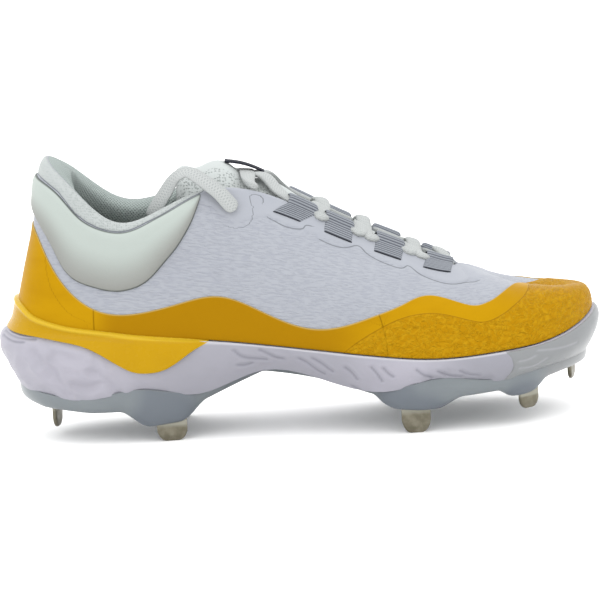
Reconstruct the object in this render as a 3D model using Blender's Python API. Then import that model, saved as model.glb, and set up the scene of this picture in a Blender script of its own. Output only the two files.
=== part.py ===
"""A low baseball cleat for the right foot, standing on its metal spikes.

Metres, +Z up, +X from heel to toe, the outer (lateral) side at -Y. The origin is on the ground
under the middle of the shoe. Every piece is worked out from the last: a closed row of sections
that runs from the heel, round each side, to the toe.
"""

import math

import bmesh
import bpy
import numpy as np

# Main sizes of the shoe
SHOE_LENGTH = 0.300
BALL_WIDTH = 0.105
STUD_HEIGHT = 0.015  # ground to the underside of the heel plate
SOLE_HEIGHT = 0.035  # underside of the heel plate to the bite line at the waist
UPPER_HEIGHT = 0.091  # bite line at the waist to the top of the heel collar

# Walls and layers
UPPER_WALL = 0.0024
COLLAR_PAD = 0.0068  # how far the padded collar stands in from the wall
COLLAR_PROUD = 0.0030  # how far the padded collar stands out from the wall
RIM_WALL = 0.0012
GOLD_THICKNESS = 0.0009
RAND_STEP = 0.0007
PANEL_THICKNESS = 0.0016
CLIP_THICKNESS = 0.0020
BUMPER_THICKNESS = 0.0026
BUMPER_ROOT = 0.0016  # how deep the bumper reaches into the plate
INSOLE_THICKNESS = 0.0040
TAB_THICKNESS = 0.0012
TAB_RISE = 0.0057  # how far the strip stands off the tongue, over the lace
FIT_GAP = 0.0003
PANEL_GAP = 0.0005
LOOP_GAP = 0.0004
PLATE_GAP = 0.0005
GOLD_GAP = 0.0004
GOLD_TOE_GAP = 0.0007

# Sole details
FOOTBED_LIP = 0.0005  # from the upper's inner face to the footbed's edge
FOOTBED_SLOPE = 0.0020  # how far the footbed's side runs in
PLATE_EDGE = 0.0045  # how far the plate's flat underside lies in from its edge
PLATE_ROUND = 0.0016
BOSS_FLARE = 1.7  # the boss's root against its foot
BOSS_SINK = 0.0030  # how deep a boss reaches into the plate
SPIKE_WIDTH = 0.0150
SPIKE_TIP_SHARE = 0.74  # width of a spike at its tip against its root
SPIKE_THICKNESS = 0.0024
SPIKE_CORNER = 0.0024
SPIKE_SLOT = 0.0030  # how deep a spike sits in its boss

# Laces
LACE_DIAMETER = 0.0042
LACE_END_DIAMETER = 0.0036
LACE_STEP = 0.0055
LACE_END_STEP = 0.0064
LOOP_LENGTH = 0.0132
LOOP_THICKNESS = 0.0012
LOOP_OUTER_LEG = 0.0095
LOOP_INNER_LEG = 0.0050

ROWS = 14  # sections from the heel (0) to the toe (14) on each side
PLACES = 29  # columns of a side's mesh
SIDE_SHARES = (0.0, 0.25, 0.5, 0.75, 1.0)  # rings of the sole's side

# The upper's lower edge. Station: share of the length from the heel. Widths: shares of the ball
# width, lateral negative. Heights: shares of the sole height.
BASE = (
    # station, lateral, medial, lateral height, medial height
    (0.0220, 0.000, 0.000, 1.23, 1.23),
    (0.0400, -0.181, 0.181, 1.20, 1.20),
    (0.0870, -0.286, 0.286, 1.16, 1.17),
    (0.1570, -0.329, 0.324, 1.11, 1.17),
    (0.2400, -0.338, 0.324, 1.06, 1.16),
    (0.3330, -0.333, 0.305, 1.00, 1.12),
    (0.4330, -0.357, 0.310, 0.90, 1.04),
    (0.5330, -0.410, 0.357, 0.79, 0.91),
    (0.6270, -0.457, 0.424, 0.69, 0.77),
    (0.7170, -0.476, 0.467, 0.63, 0.67),
    (0.8070, -0.438, 0.462, 0.66, 0.67),
    (0.8830, -0.352, 0.405, 0.72, 0.73),
    (0.9420, -0.224, 0.305, 0.85, 0.85),
    (0.9780, -0.076, 0.190, 1.00, 1.00),
    (0.9880, 0.062, 0.062, 1.07, 1.07),
)

# The collar and throat edge, by row number. Heights: shares of the upper height.
EDGE = (
    # row, station, lateral, medial, lateral height, medial height
    (0, 0.0930, 0.000, 0.000, 1.000, 1.000),
    (1, 0.1010, -0.133, 0.133, 0.967, 0.978),
    (2, 0.1280, -0.224, 0.224, 0.879, 0.912),
    (3, 0.1700, -0.276, 0.276, 0.736, 0.791),
    (4, 0.2230, -0.295, 0.290, 0.643, 0.714),
    (5, 0.2930, -0.286, 0.276, 0.720, 0.758),
    (6, 0.3670, -0.252, 0.243, 0.797, 0.819),
    (7, 0.4600, -0.210, 0.210, 0.742, 0.758),
    (8, 0.5670, -0.195, 0.195, 0.566, 0.577),
    (9, 0.6730, -0.171, 0.181, 0.407, 0.418),
    (9.6, 0.7400, -0.142, 0.152, 0.317, 0.324),
    (9.85, 0.7610, -0.082, 0.098, 0.297, 0.300),
    (10, 0.7670, 0.010, 0.010, 0.291, 0.291),
)
THROAT_ROW = 10

# The ridge of the toe box, from the throat to the toe.
RIDGE = (
    # row, station, width, height
    (10, 0.7670, 0.010, 0.291),
    (11, 0.8130, 0.029, 0.242),
    (12, 0.8500, 0.048, 0.208),
    (13, 0.8770, 0.060, 0.187),
    (14, 0.8880, 0.064, 0.179),
)

# How the wall leaves the sole and arrives at its top edge.
FULLNESS = (
    # lean at the base, reach at the base, fall at the top (degrees), reach at the top,
    # swing of the top (degrees from straight back)
    (-0.22, 0.35, 78, 0.32, 0),
    (-0.18, 0.35, 78, 0.32, 32),
    (-0.10, 0.35, 80, 0.32, 58),
    (-0.03, 0.35, 82, 0.32, 80),
    (0.00, 0.35, 82, 0.32, 90),
    (0.02, 0.35, 80, 0.32, 90),
    (0.04, 0.36, 70, 0.32, 90),
    (0.06, 0.38, 60, 0.32, 90),
    (0.08, 0.40, 48, 0.32, 90),
    (0.08, 0.42, 36, 0.34, 90),
    (0.08, 0.44, 6, 0.42, 90),
    (0.08, 0.44, 0, 0.44, 92),
    (0.06, 0.46, 2, 0.48, 108),
    (0.04, 0.46, 6, 0.52, 142),
    (0.03, 0.46, 8, 0.54, 180),
)

# The sole's side. Bulge: its widest line. Inset: how far the lower edge lies in from the bulge,
# as a share of the ball width. Heights: shares of the sole height above the heel plate.
SOLE = (
    # station, lateral, medial, bulge height lateral, medial, inset, lower edge lateral, medial
    (0.0000, 0.000, 0.000, 0.99, 0.99, 0.066, 0.43, 0.43),
    (0.0190, -0.200, 0.200, 0.92, 0.92, 0.062, 0.38, 0.38),
    (0.0700, -0.324, 0.324, 0.79, 0.80, 0.052, 0.30, 0.30),
    (0.1500, -0.381, 0.381, 0.68, 0.70, 0.043, 0.23, 0.24),
    (0.2400, -0.386, 0.376, 0.65, 0.69, 0.035, 0.33, 0.32),
    (0.3330, -0.367, 0.343, 0.61, 0.70, 0.038, 0.24, 0.28),
    (0.4330, -0.376, 0.330, 0.72, 0.82, 0.030, 0.53, 0.58),
    (0.5330, -0.424, 0.376, 0.58, 0.67, 0.034, 0.36, 0.43),
    (0.6270, -0.476, 0.443, 0.45, 0.50, 0.034, 0.19, 0.23),
    (0.7170, -0.499, 0.490, 0.47, 0.46, 0.030, 0.33, 0.30),
    (0.8100, -0.462, 0.486, 0.45, 0.45, 0.038, 0.25, 0.26),
    (0.8900, -0.371, 0.429, 0.50, 0.50, 0.046, 0.34, 0.34),
    (0.9520, -0.238, 0.329, 0.62, 0.62, 0.052, 0.40, 0.40),
    (0.9900, -0.078, 0.204, 0.78, 0.78, 0.056, 0.44, 0.44),
    (1.0000, 0.066, 0.066, 0.86, 0.86, 0.058, 0.46, 0.46),
)

# The plate under the sole. Waist: how far its edge lies in from the sole's, as a share of the width.
PLATE = (
    # underside height (share of the sole height), waist
    (0.29, 0.00),
    (0.21, 0.00),
    (0.08, 0.00),
    (0.02, 0.00),
    (0.03, 0.00),
    (0.10, 0.04),
    (0.40, 0.20),
    (0.26, 0.16),
    (0.08, 0.03),
    (0.04, 0.00),
    (0.09, 0.00),
    (0.17, 0.00),
    (0.23, 0.00),
    (0.26, 0.00),
    (0.27, 0.00),
)

# Spikes and their bosses. Station and width place the middle. Heights: shares of the stud height.
# Boss: the lengths of its foot along and across the blade, as shares of the ball width.
SPIKES = (
    # name, station, width, turn (degrees), blade share, tip height, root height, boss
    ("heel_lateral", 0.2800, -0.290, 5, 1.00, 0.00, 0.60, (0.20, 0.11)),
    ("heel_medial", 0.2800, 0.282, -5, 1.00, 0.00, 0.60, (0.20, 0.11)),
    ("heel_rear", 0.0800, 0.020, 84, 1.00, 0.27, 0.98, (0.15, 0.07)),
    ("ball_lateral", 0.6780, -0.395, 3, 0.95, 0.00, 0.78, (0.18, 0.10)),
    ("ball_medial", 0.6880, 0.385, -4, 0.95, 0.00, 0.78, (0.18, 0.10)),
    ("fore_lateral", 0.8650, -0.300, 40, 0.85, 0.50, 1.02, (0.15, 0.09)),
    ("fore_medial", 0.8680, 0.330, -34, 0.85, 0.50, 1.02, (0.15, 0.09)),
    ("toe", 0.9545, 0.060, 72, 0.85, 0.94, 1.50, (0.12, 0.05)),
)

# How far the footbed lies below the bite line, as a share of the sole height.
FOOTBED = (
    # station, depth
    (0.00, 0.44),
    (0.15, 0.42),
    (0.33, 0.30),
    (0.50, 0.14),
    (0.72, 0.09),
    (0.90, 0.16),
    (1.00, 0.22),
)

# Edges of the golden layer, by row: shares of the wall from the sole to the collar or ridge.
GOLD_TOP = (
    # row, lateral, medial
    (0.00, 0.60, 0.60),
    (1.07, 0.57, 0.57),
    (1.86, 0.45, 0.46),
    (2.57, 0.30, 0.32),
    (3.29, 0.20, 0.22),
    (4.10, 0.22, 0.20),
    (4.87, 0.28, 0.22),
    (5.59, 0.29, 0.22),
    (6.17, 0.19, 0.17),
    (6.80, 0.12, 0.13),
    (7.50, 0.17, 0.18),
    (8.02, 0.26, 0.26),
    (8.66, 0.40, 0.38),
    (9.20, 0.51, 0.46),
    (9.64, 0.43, 0.42),
    (9.97, 0.37, 0.38),
    (10.37, 0.42, 0.42),
    (10.84, 0.53, 0.52),
    (11.36, 0.68, 0.68),
    (11.90, 0.92, 0.92),
    (12.40, 1.18, 1.18),
    (13.20, 1.50, 1.50),
    (14.00, 1.60, 1.60),
)

# The textured rand along the sole, a step in the golden layer.
RAND_TOP = (
    # row, lateral, medial
    (0.00, -0.60, -0.60),
    (6.00, -0.50, -0.50),
    (7.34, 0.00, 0.00),
    (7.93, 0.15, 0.15),
    (8.34, 0.24, 0.23),
    (8.78, 0.31, 0.29),
    (9.20, 0.33, 0.31),
    (9.68, 0.26, 0.26),
    (9.93, 0.22, 0.23),
    (10.23, 0.24, 0.25),
    (10.60, 0.31, 0.32),
    (11.38, 0.50, 0.50),
    (12.00, 0.74, 0.74),
    (12.40, 1.06, 1.06),
    (14.00, 1.60, 1.60),
)

# The padded ankle panel: its lower and upper edges as shares of the wall.
ANKLE_PANEL = (
    # row, lower edge, upper edge
    (0.00, 0.67, 0.88),
    (0.45, 0.67, 0.88),
    (1.45, 0.61, 0.88),
    (2.00, 0.52, 0.87),
    (2.33, 0.44, 0.85),
    (2.70, 0.39, 0.84),
    (3.51, 0.38, 0.86),
    (3.90, 0.41, 0.88),
    (4.40, 0.49, 0.91),
    (4.80, 0.61, 0.92),
    (5.22, 0.73, 0.93),
    (5.50, 0.82, 0.94),
)
PANEL_END = 5.5

# The heel clip: its lower edge on the sole's side and its upper edge on the wall, as shares.
HEEL_CLIP = (
    # row, lower edge, upper edge
    (0.00, 0.93, 0.20),
    (0.90, 0.95, 0.19),
    (1.80, 0.93, 0.15),
    (2.44, 0.89, 0.11),
    (2.87, 0.84, 0.09),
    (3.29, 0.70, 0.065),
    (3.63, 0.53, 0.045),
    (3.95, 0.42, 0.035),
    (4.36, 0.48, 0.025),
    (4.72, 0.70, 0.020),
    (5.00, 0.90, 0.018),
)
CLIP_END = 5.0

# The tongue, from under the vamp to its free top.
TONGUE = (
    # row, crown height, clearance under the wall, thickness
    (10.60, -0.0050, 0.0009, 0.0026),
    (10.20, -0.0068, 0.0012, 0.0028),
    (9.90, -0.0090, 0.0022, 0.0030),
    (9.60, -0.0026, 0.0020, 0.0036),
    (9.30, 0.0004, 0.0032, 0.0044),
    (8.95, 0.0028, 0.0030, 0.0050),
    (8.50, 0.0050, 0.0030, 0.0052),
    (8.00, 0.0060, 0.0030, 0.0052),
    (7.50, 0.0064, 0.0030, 0.0054),
    (7.00, 0.0052, 0.0030, 0.0056),
    (6.62, 0.0044, 0.0028, 0.0058),
    (6.30, 0.0100, 0.0024, 0.0060),
    (6.00, 0.0106, 0.0020, 0.0060),
    (5.60, 0.0096, 0.0020, 0.0056),
)
TONGUE_LIP = (
    # back, up, share of the width kept
    (0.0050, 0.0012, 0.90),
    (0.0085, -0.0006, 0.62),
)

BAR_ROW = 9.58  # where the lace's front bar crosses
BAR_LIFT = 0.0055
TAB_ROWS = (6.96, 6.28)
TONGUE_EDGE = 0.64  # share of the tongue's half width that is free of the wall

# Middle rows of the four pairs of lace loops, from the top.
LOOP_ROWS = (7.15, 7.97, 8.72, 9.31)

# The free end of the lateral lace, in metres: under the strip, down behind the tongue, and up
# over the collar.
LACE_END_ROUTE = (
    (-0.0173, -0.0207, 0.1216),
    (-0.0201, -0.0210, 0.1227),
    (-0.0220, -0.0175, 0.1246),
    (-0.0224, -0.0120, 0.1263),
    (-0.0228, -0.0060, 0.1277),
    (-0.0232, 0.0000, 0.1286),
    (-0.0240, 0.0063, 0.1287),
    (-0.0265, 0.0120, 0.1282),
    (-0.0315, 0.0152, 0.1287),
    (-0.0380, 0.0165, 0.1284),
    (-0.0455, 0.0164, 0.1276),
    (-0.0530, 0.0148, 0.1278),
    (-0.0600, 0.0110, 0.1245),
    (-0.0655, 0.0050, 0.1170),
    (-0.0690, -0.0035, 0.1095),
    (-0.0710, -0.0125, 0.1063),
    (-0.0703, -0.0183, 0.1093),
    (-0.0660, -0.0213, 0.1168),
    (-0.0610, -0.0235, 0.1240),
    (-0.0565, -0.0260, 0.1293),
    (-0.0505, -0.0285, 0.1310),
    (-0.0455, -0.0310, 0.1283),
    (-0.0405, -0.0326, 0.1246),
    (-0.0350, -0.0334, 0.1196),
    (-0.0320, -0.0334, 0.1158),
    (-0.0285, -0.0332, 0.1120),
)

# Where the pieces of the golden layer meet, and where the toe bumper starts.
COUNTER_ROW = 3.10
GUARD_ROW = 8.10
MEET_ROW = 12.2  # past it the toe guard closes over the ridge
BUMPER_ROW = 10.80
SEAM_ROWS = 0.02
BUMPER_RAMP = 0.09


def spline(knots, values):
    """A natural cubic through the rows of values, as a function of an array of places."""
    knots = np.asarray(knots, float)
    values = np.asarray(values, float)
    step = np.diff(knots)
    slope = np.diff(values, axis=0) / step[:, None]
    count = len(knots)
    matrix = np.eye(count)
    right = np.zeros_like(values)
    for i in range(1, count - 1):
        matrix[i, i - 1 : i + 2] = (step[i - 1], 2 * (step[i - 1] + step[i]), step[i])
        right[i] = 6 * (slope[i] - slope[i - 1])
    bend = np.linalg.solve(matrix, right)

    def at(place):
        place = np.asarray(place, float)
        i = np.clip(np.searchsorted(knots, place) - 1, 0, count - 2)
        h = step[i][..., None]
        before = (place - knots[i])[..., None] / h
        after = 1 - before
        return (
            after * values[i]
            + before * values[i + 1]
            + h * h / 6 * ((after**3 - after) * bend[i] + (before**3 - before) * bend[i + 1])
        )

    return at


def around(rows, lateral, medial):
    """A smooth closed function of g, which is 0 at the heel, 1 at the toe by the lateral side and
    -1 by the medial side."""
    wrap = 4
    knots = {}
    for row, left, right in zip(rows, lateral, medial):
        knots[row] = left
        knots[2 * ROWS - row] = right
        knots[row - 2 * ROWS] = left
        if row > 0:
            knots[-row] = right
    places = sorted(place for place in knots if abs(place) <= ROWS + wrap)
    return spline(np.array(places) / ROWS, [knots[place] for place in places])


def share_line(table):
    """A closed line of shares from a table of row, lateral and medial share."""
    table = np.array(table)
    made = around(table[:, 0], table[:, 1, None], table[:, 2, None])
    return lambda g: made(wrapped(g))[..., 0]


def heel_line(table, column):
    """A line of shares round the heel, alike on both sides."""
    table = np.array(table)
    rows = np.concatenate([-table[:0:-1, 0], table[:, 0]])
    shares = np.concatenate([table[:0:-1, column], table[:, column]])
    made = spline(rows / ROWS, shares[:, None])
    limit = table[-1, 0] / ROWS
    return lambda g: made(np.clip(wrapped(g), -limit, limit))[..., 0]


def wrapped(g):
    return (np.asarray(g, float) + 1) % 2 - 1


def length_at(station):
    return SHOE_LENGTH * (station - 0.5)


def station_at(x):
    return x / SHOE_LENGTH + 0.5


def sole_height_at(share):
    return STUD_HEIGHT + SOLE_HEIGHT * share


def upper_height_at(share):
    return STUD_HEIGHT + SOLE_HEIGHT + UPPER_HEIGHT * share


def closed_line(table, widths, heights):
    """The closed line of a table, from its columns of lateral and medial widths and heights."""
    table = np.array(table)
    sides = [
        np.stack(
            [
                length_at(table[:, 0]),
                BALL_WIDTH * table[:, width],
                sole_height_at(table[:, height]),
            ],
            axis=1,
        )
        for width, height in zip(widths, heights)
    ]
    return around(range(ROWS + 1), *sides)


base_line = closed_line(BASE, (1, 2), (3, 4))
bulge_line = closed_line(SOLE, (1, 2), (3, 4))
lower_height = around(range(ROWS + 1), *[sole_height_at(np.array(SOLE)[:, k, None]) for k in (6, 7)])
lower_inset = around(range(ROWS + 1), *[BALL_WIDTH * np.array(SOLE)[:, 5, None]] * 2)
plate_line = around(range(ROWS + 1), *[np.array(PLATE)] * 2)
gold_top = share_line(GOLD_TOP)
rand_top = share_line(RAND_TOP)
panel_low = heel_line(ANKLE_PANEL, 1)
panel_high = heel_line(ANKLE_PANEL, 2)
clip_low = heel_line(HEEL_CLIP, 1)
clip_high = heel_line(HEEL_CLIP, 2)


def fullness_rows(side):
    table = np.array(FULLNESS)
    swing = np.radians(table[:, 4])
    return np.column_stack([table[:, :4], -np.cos(swing), -np.sin(swing) * side])


fullness = around(range(ROWS + 1), fullness_rows(1), fullness_rows(-1))


def edge_rows():
    """The collar and throat edge from the medial throat, round the heel, to the lateral throat."""
    rows = []
    for sign, width, height in ((-1, 3, 5), (1, 2, 4)):
        for line in EDGE[::-1] if sign < 0 else EDGE[1:]:
            place = (length_at(line[1]), BALL_WIDTH * line[width], upper_height_at(line[height]))
            rows.append((sign * line[0] / ROWS, *place))
    return np.array(rows)


def ridge_rows():
    """The toe box ridge, mirrored past the toe so that it ends smoothly."""
    rows = [
        (line[0] / ROWS, length_at(line[1]), BALL_WIDTH * line[2], upper_height_at(line[3]))
        for line in RIDGE
    ]
    mirrored = [(2 - row[0], *row[1:]) for row in rows[-2::-1]]
    return np.array(rows + mirrored)


edge_spline = spline(edge_rows()[:, 0], edge_rows()[:, 1:])
ridge_spline = spline(ridge_rows()[:, 0], ridge_rows()[:, 1:])
THROAT = THROAT_ROW / ROWS


def top_line(g):
    """The collar rim, the throat edge, and past the throat the ridge of the toe box."""
    g = wrapped(g)
    open_part = edge_spline(np.clip(g, -THROAT, THROAT))
    closed_part = ridge_spline(np.maximum(np.abs(g), THROAT))
    return np.where((np.abs(g) < THROAT)[..., None], open_part, closed_part)


def unit(vectors):
    return vectors / np.linalg.norm(vectors, axis=-1, keepdims=True)


def outward(line, g):
    """The level direction that points out of the shoe from a closed line."""
    small = 1e-3
    along = line(wrapped(g + small))[..., :2] - line(wrapped(g - small))[..., :2]
    return unit(np.stack([along[..., 1], -along[..., 0], np.zeros(np.shape(g))], axis=-1))


UP = np.array([0.0, 0.0, 1.0])


def bezier(points, v):
    v = np.asarray(v)[..., None]
    a, b, c, d = points
    return (1 - v) ** 3 * a + 3 * (1 - v) ** 2 * v * b + 3 * (1 - v) * v * v * c + v**3 * d


def last_surface(g, v):
    """The wall of the upper: v runs from the sole (0) to the collar, throat or ridge (1)."""
    g = wrapped(g)
    base, top = base_line(g), top_line(g)
    lean, reach, fall, top_reach, back, side = np.moveaxis(fullness(g), -1, 0)
    size = np.linalg.norm(top - base, axis=-1)
    start = outward(base_line, g) * lean[..., None] + UP
    level = unit(np.stack([back, side, np.zeros_like(back)], axis=-1))
    fall = np.radians(fall)[..., None]
    end = level * np.cos(fall) - UP * np.sin(fall)
    controls = (
        base,
        base + start * (reach * size)[..., None],
        top + end * (top_reach * size)[..., None],
        top,
    )
    return bezier(controls, v)


def lip_line(g):
    """The midsole's upper edge, which stands out under the upper."""
    lip = base_line(g) + outward(base_line, g) * (CLIP_THICKNESS + FIT_GAP)
    return lip - UP * FIT_GAP


def sole_surface(g, w):
    """The side of the sole: w runs from its lower edge (0) over the bulge to its lip (1)."""
    g = wrapped(g)
    bulge = bulge_line(g)
    lower = bulge - outward(bulge_line, g) * lower_inset(g)
    lower[..., 2] = lower_height(g)[..., 0]
    lip = lip_line(g)
    middle = 2 * bulge - (lower + lip) / 2
    w = np.asarray(w)[..., None]
    return (1 - w) ** 2 * lower + 2 * (1 - w) * w * middle + w * w * lip


def last_normal(g, v):
    """The outward normal of the wall. On the ridge both sides share one."""
    small = 2e-3

    def one_side(g):
        along = last_surface(g + small, v) - last_surface(g - small, v)
        up = last_surface(g, np.minimum(v + small, 1)) - last_surface(g, np.maximum(v - small, 0))
        return unit(np.cross(along, up))

    v = np.clip(v, 0.01, 0.96)
    normal = one_side(g)
    ridge = ((np.abs(wrapped(g)) >= THROAT - 1e-9) & (v > 0.955))[..., None]
    return unit(np.where(ridge, normal + one_side(-g), normal))


def offset_last(g, v, out):
    g, v, out = np.broadcast_arrays(np.asarray(g, float), np.asarray(v, float), out)
    return last_surface(g, v) + last_normal(g, v) * out[..., None]


def offset_sole(g, w, out):
    g, w, out = np.broadcast_arrays(np.asarray(g, float), np.asarray(w, float), out)
    return sole_surface(g, w) + outward(bulge_line, g) * out[..., None]


def pad_share(g, v):
    """How full the collar padding is: 1 near its rim, 0 below it and in the throat."""
    start, peak = 0.50, 0.90
    rise = np.clip((v - start) / (peak - start), 0, 1)
    drop = np.clip((v - peak) / (1 - peak), 0, 1)
    swell = rise * rise * (3 - 2 * rise) * np.sqrt(1 - drop * drop)
    away = np.clip((0.52 - np.abs(wrapped(g))) / 0.14, 0, 1)
    return swell * away * away * (3 - 2 * away)


def wall_out(g, v):
    return COLLAR_PROUD * pad_share(g, v)


def wall_in(g, v):
    """Depth of the wall's inner face: the wall thins to its rim, and the collar is padded."""
    rim = np.clip((1 - v) / 0.05, 0, 1)
    open_rim = np.where(np.abs(wrapped(g)) < THROAT - 1e-9, rim, 1.0)
    wall = RIM_WALL + (UPPER_WALL - RIM_WALL) * open_rim
    return wall + COLLAR_PAD * pad_share(g, v)


def ramp(value, start, width):
    return np.clip((value - start) / width, 0, 1)


def bumper_share(g):
    """1 where the plate's bumper wraps the toe, 0 behind it."""
    return ramp(np.abs(wrapped(g)) * ROWS, BUMPER_ROW - SEAM_ROWS / 2 - BUMPER_RAMP, BUMPER_RAMP)


def sheet_height(line, drop=lambda x: 0.0):
    """The height of a sheet that spans a closed line from side to side, as a function of a place."""
    g = np.linspace(0, 1, 80)
    lateral, medial = line(g), line(-g)

    def height(x, y):
        left_y, left_z = [np.interp(x, lateral[:, 0], lateral[:, k]) for k in (1, 2)]
        right_y, right_z = [np.interp(x, medial[:, 0], medial[:, k]) for k in (1, 2)]
        share = np.clip((y - left_y) / np.maximum(right_y - left_y, 1e-6), 0, 1)
        return left_z + (right_z - left_z) * share - drop(x)

    return height


footbed_depth = spline(np.array(FOOTBED)[:, 0], np.array(FOOTBED)[:, 1:])


def footbed_drop(x):
    return SOLE_HEIGHT * footbed_depth(station_at(x))[..., 0]


floor_height = sheet_height(lambda g: sole_surface(g, 0.0))
footbed_height = sheet_height(base_line, footbed_drop)

tongue_table = np.array(TONGUE)[::-1]
tongue_form = spline(tongue_table[:, 0], tongue_table[:, 1:])


def tongue_top(row, s):
    """The tongue's upper face at a row: s runs from its lateral edge (-1) to its medial one (1)."""
    row, s = np.broadcast_arrays(np.asarray(row, float), np.asarray(s, float))
    g = row / ROWS
    crown, clearance, _ = np.moveaxis(tongue_form(row), -1, 0)
    depth = np.abs(s) - TONGUE_EDGE
    v = 0.97 - 0.30 * np.clip(depth, 0, 1) / (1 - TONGUE_EDGE)
    flanks = [offset_last(side * g, v, -wall_in(side * g, v) - clearance) for side in (1, -1)]
    u = np.clip((s / TONGUE_EDGE + 1) / 2, 0, 1)
    line = flanks[0] + (flanks[1] - flanks[0]) * u[..., None]
    rims = (top_line(g) + top_line(-g)) / 2
    lift = rims[..., 2] + crown - (flanks[0] + flanks[1])[..., 2] / 2
    arch = line + UP * (4 * u * (1 - u) * lift)[..., None]
    return np.where(
        (depth > 0)[..., None], np.where((s < 0)[..., None], flanks[0], flanks[1]), arch
    )


def grid_normals(grid):
    """Upward normals of a grid of points."""
    normal = unit(np.cross(np.gradient(grid, axis=0), np.gradient(grid, axis=1)))
    middle = normal[grid.shape[0] // 2, grid.shape[1] // 2]
    return normal * np.sign(middle[2])


# Mesh building


def clear_scene():
    for obj in list(bpy.data.objects):
        bpy.data.objects.remove(obj)


def make_collection(name):
    group = bpy.data.collections.new(name)
    bpy.context.scene.collection.children.link(group)
    return group


def material(name, colour, roughness, metallic=0.0):
    made = bpy.data.materials.new(name)
    made.use_nodes = True
    shader = made.node_tree.nodes["Principled BSDF"]
    shader.inputs["Base Color"].default_value = (*colour, 1)
    shader.inputs["Roughness"].default_value = roughness
    shader.inputs["Metallic"].default_value = metallic
    return made


def add_object(name, mesh, group, finish=None):
    obj = bpy.data.objects.new(name, mesh)
    group.objects.link(obj)
    if finish:
        mesh.materials.append(finish)
    return obj


def finish_mesh(name, work):
    bmesh.ops.remove_doubles(work, verts=work.verts, dist=2e-6)
    bmesh.ops.recalc_face_normals(work, faces=work.faces)
    mesh = bpy.data.meshes.new(name)
    work.to_mesh(mesh)
    work.free()
    mesh.shade_smooth()
    return mesh


def add_strip(work, first, second, closed=False):
    """Faces between two rows of vertices."""
    count = len(first)
    for i in range(count if closed else count - 1):
        k = (i + 1) % count
        corners = list(dict.fromkeys([first[i], first[k], second[k], second[i]]))
        if len(corners) > 2:
            work.faces.new(corners)


def wall_mesh(name, outer, inner, closed=False, top_free=None):
    """A closed shell between two grids of points, shaped (columns, rows, 3). top_free marks the
    columns whose last row is a free edge; the others meet their partners over the ridge."""
    work = bmesh.new()
    grids = [
        [[work.verts.new(point) for point in column] for column in grid] for grid in (outer, inner)
    ]
    count = len(outer)
    pairs = [(i, i + 1) for i in range(count - 1)] + ([(count - 1, 0)] if closed else [])
    for left, right in pairs:
        for grid in grids:
            add_strip(work, grid[left], grid[right])
        for row in (0, -1):
            if row == 0 or top_free is None or top_free[left] or top_free[right]:
                edges = [[grid[left][row], grid[right][row]] for grid in grids]
                add_strip(work, *edges)
    if not closed:
        for column in (0, -1):
            add_strip(work, grids[0][column], grids[1][column])
    return finish_mesh(name, work)


def slab_mesh(name, rings, bottom_height, top_height, across=(0.5,)):
    """A closed slab: rings of points from bottom to top, capped by sheets that run straight
    across from each lateral point to its medial partner."""
    work = bmesh.new()
    rings = [[work.verts.new(point) for point in ring] for ring in rings]
    for low, high in zip(rings[:-1], rings[1:]):
        add_strip(work, low, high, closed=True)
    half = len(rings[0]) // 2
    for ring, height in ((rings[0], bottom_height), (rings[-1], top_height)):
        lines = []
        for i in range(half + 1):
            left, right = ring[i], ring[-i % len(ring)]
            places = [left.co.lerp(right.co, share) for share in across if left is not right]
            inside = [
                work.verts.new((place.x, place.y, float(height(place.x, place.y))))
                for place in places
            ]
            lines.append([left, *(inside or [left] * len(across)), right])
        for left, right in zip(lines[:-1], lines[1:]):
            add_strip(work, left, right)
    return finish_mesh(name, work)


def side_places(extra_rows=()):
    """Places along the lateral side from heel to toe."""
    places = np.linspace(0, 1, PLACES)
    extra = np.array(extra_rows) / ROWS
    keep = [p for p in places if len(extra) == 0 or np.abs(extra - p).min() > 0.004]
    return np.sort(np.concatenate([keep, extra]))


def ring_of(lateral):
    """Places all round: along the lateral side to the toe, and back by the medial side."""
    return np.concatenate([lateral, -lateral[-2:0:-1]])


def places_between(start, end):
    """The shared places that lie between two rows, with the rows themselves as ends."""
    lateral = side_places(SHARED_ROWS)
    both = np.concatenate([-lateral[:0:-1], lateral])
    clear = 0.15 / ROWS
    inside = both[(both > start / ROWS + clear) & (both < end / ROWS - clear)]
    return np.concatenate([[start / ROWS], inside, [end / ROWS]])


SHARED_ROWS = [
    9.35,
    9.62,
    9.82,
    THROAT_ROW - 0.08,
    THROAT_ROW,
    BUMPER_ROW - BUMPER_RAMP - SEAM_ROWS / 2,
    BUMPER_ROW - SEAM_ROWS / 2,
    BUMPER_ROW + SEAM_ROWS / 2,
]


def boolean(obj, other, operation, helpers):
    """Cuts or joins a closed mesh, and keeps the other piece as a hidden helper."""
    step = obj.modifiers.new(operation.title(), "BOOLEAN")
    step.operation = operation
    step.object = other
    step.solver = "EXACT"
    other.hide_render = True
    other.display_type = "WIRE"
    helpers.objects.link(other)


def tube(name, points, diameter, roundness=2):
    """A round cord through the points, with closed ends, as a curve object."""
    curve = bpy.data.curves.new(name, "CURVE")
    curve.dimensions = "3D"
    curve.bevel_depth = diameter / 2
    curve.bevel_resolution = roundness
    curve.use_fill_caps = True
    line = curve.splines.new("POLY")
    line.points.add(len(points) - 1)
    for point, place in zip(line.points, points):
        point.co = (*place, 1)
    return bpy.data.objects.new(name, curve)


def tube_mesh(name, points, diameter):
    """The same cord as a welded mesh, for a Boolean."""
    rope = tube(name, points, diameter, roundness=1)
    bpy.context.scene.collection.objects.link(rope)
    bpy.context.view_layer.update()
    mesh = bpy.data.meshes.new_from_object(rope.evaluated_get(bpy.context.evaluated_depsgraph_get()))
    bpy.data.objects.remove(rope)
    work = bmesh.new()
    work.from_mesh(mesh)
    return finish_mesh(name, work)


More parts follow.
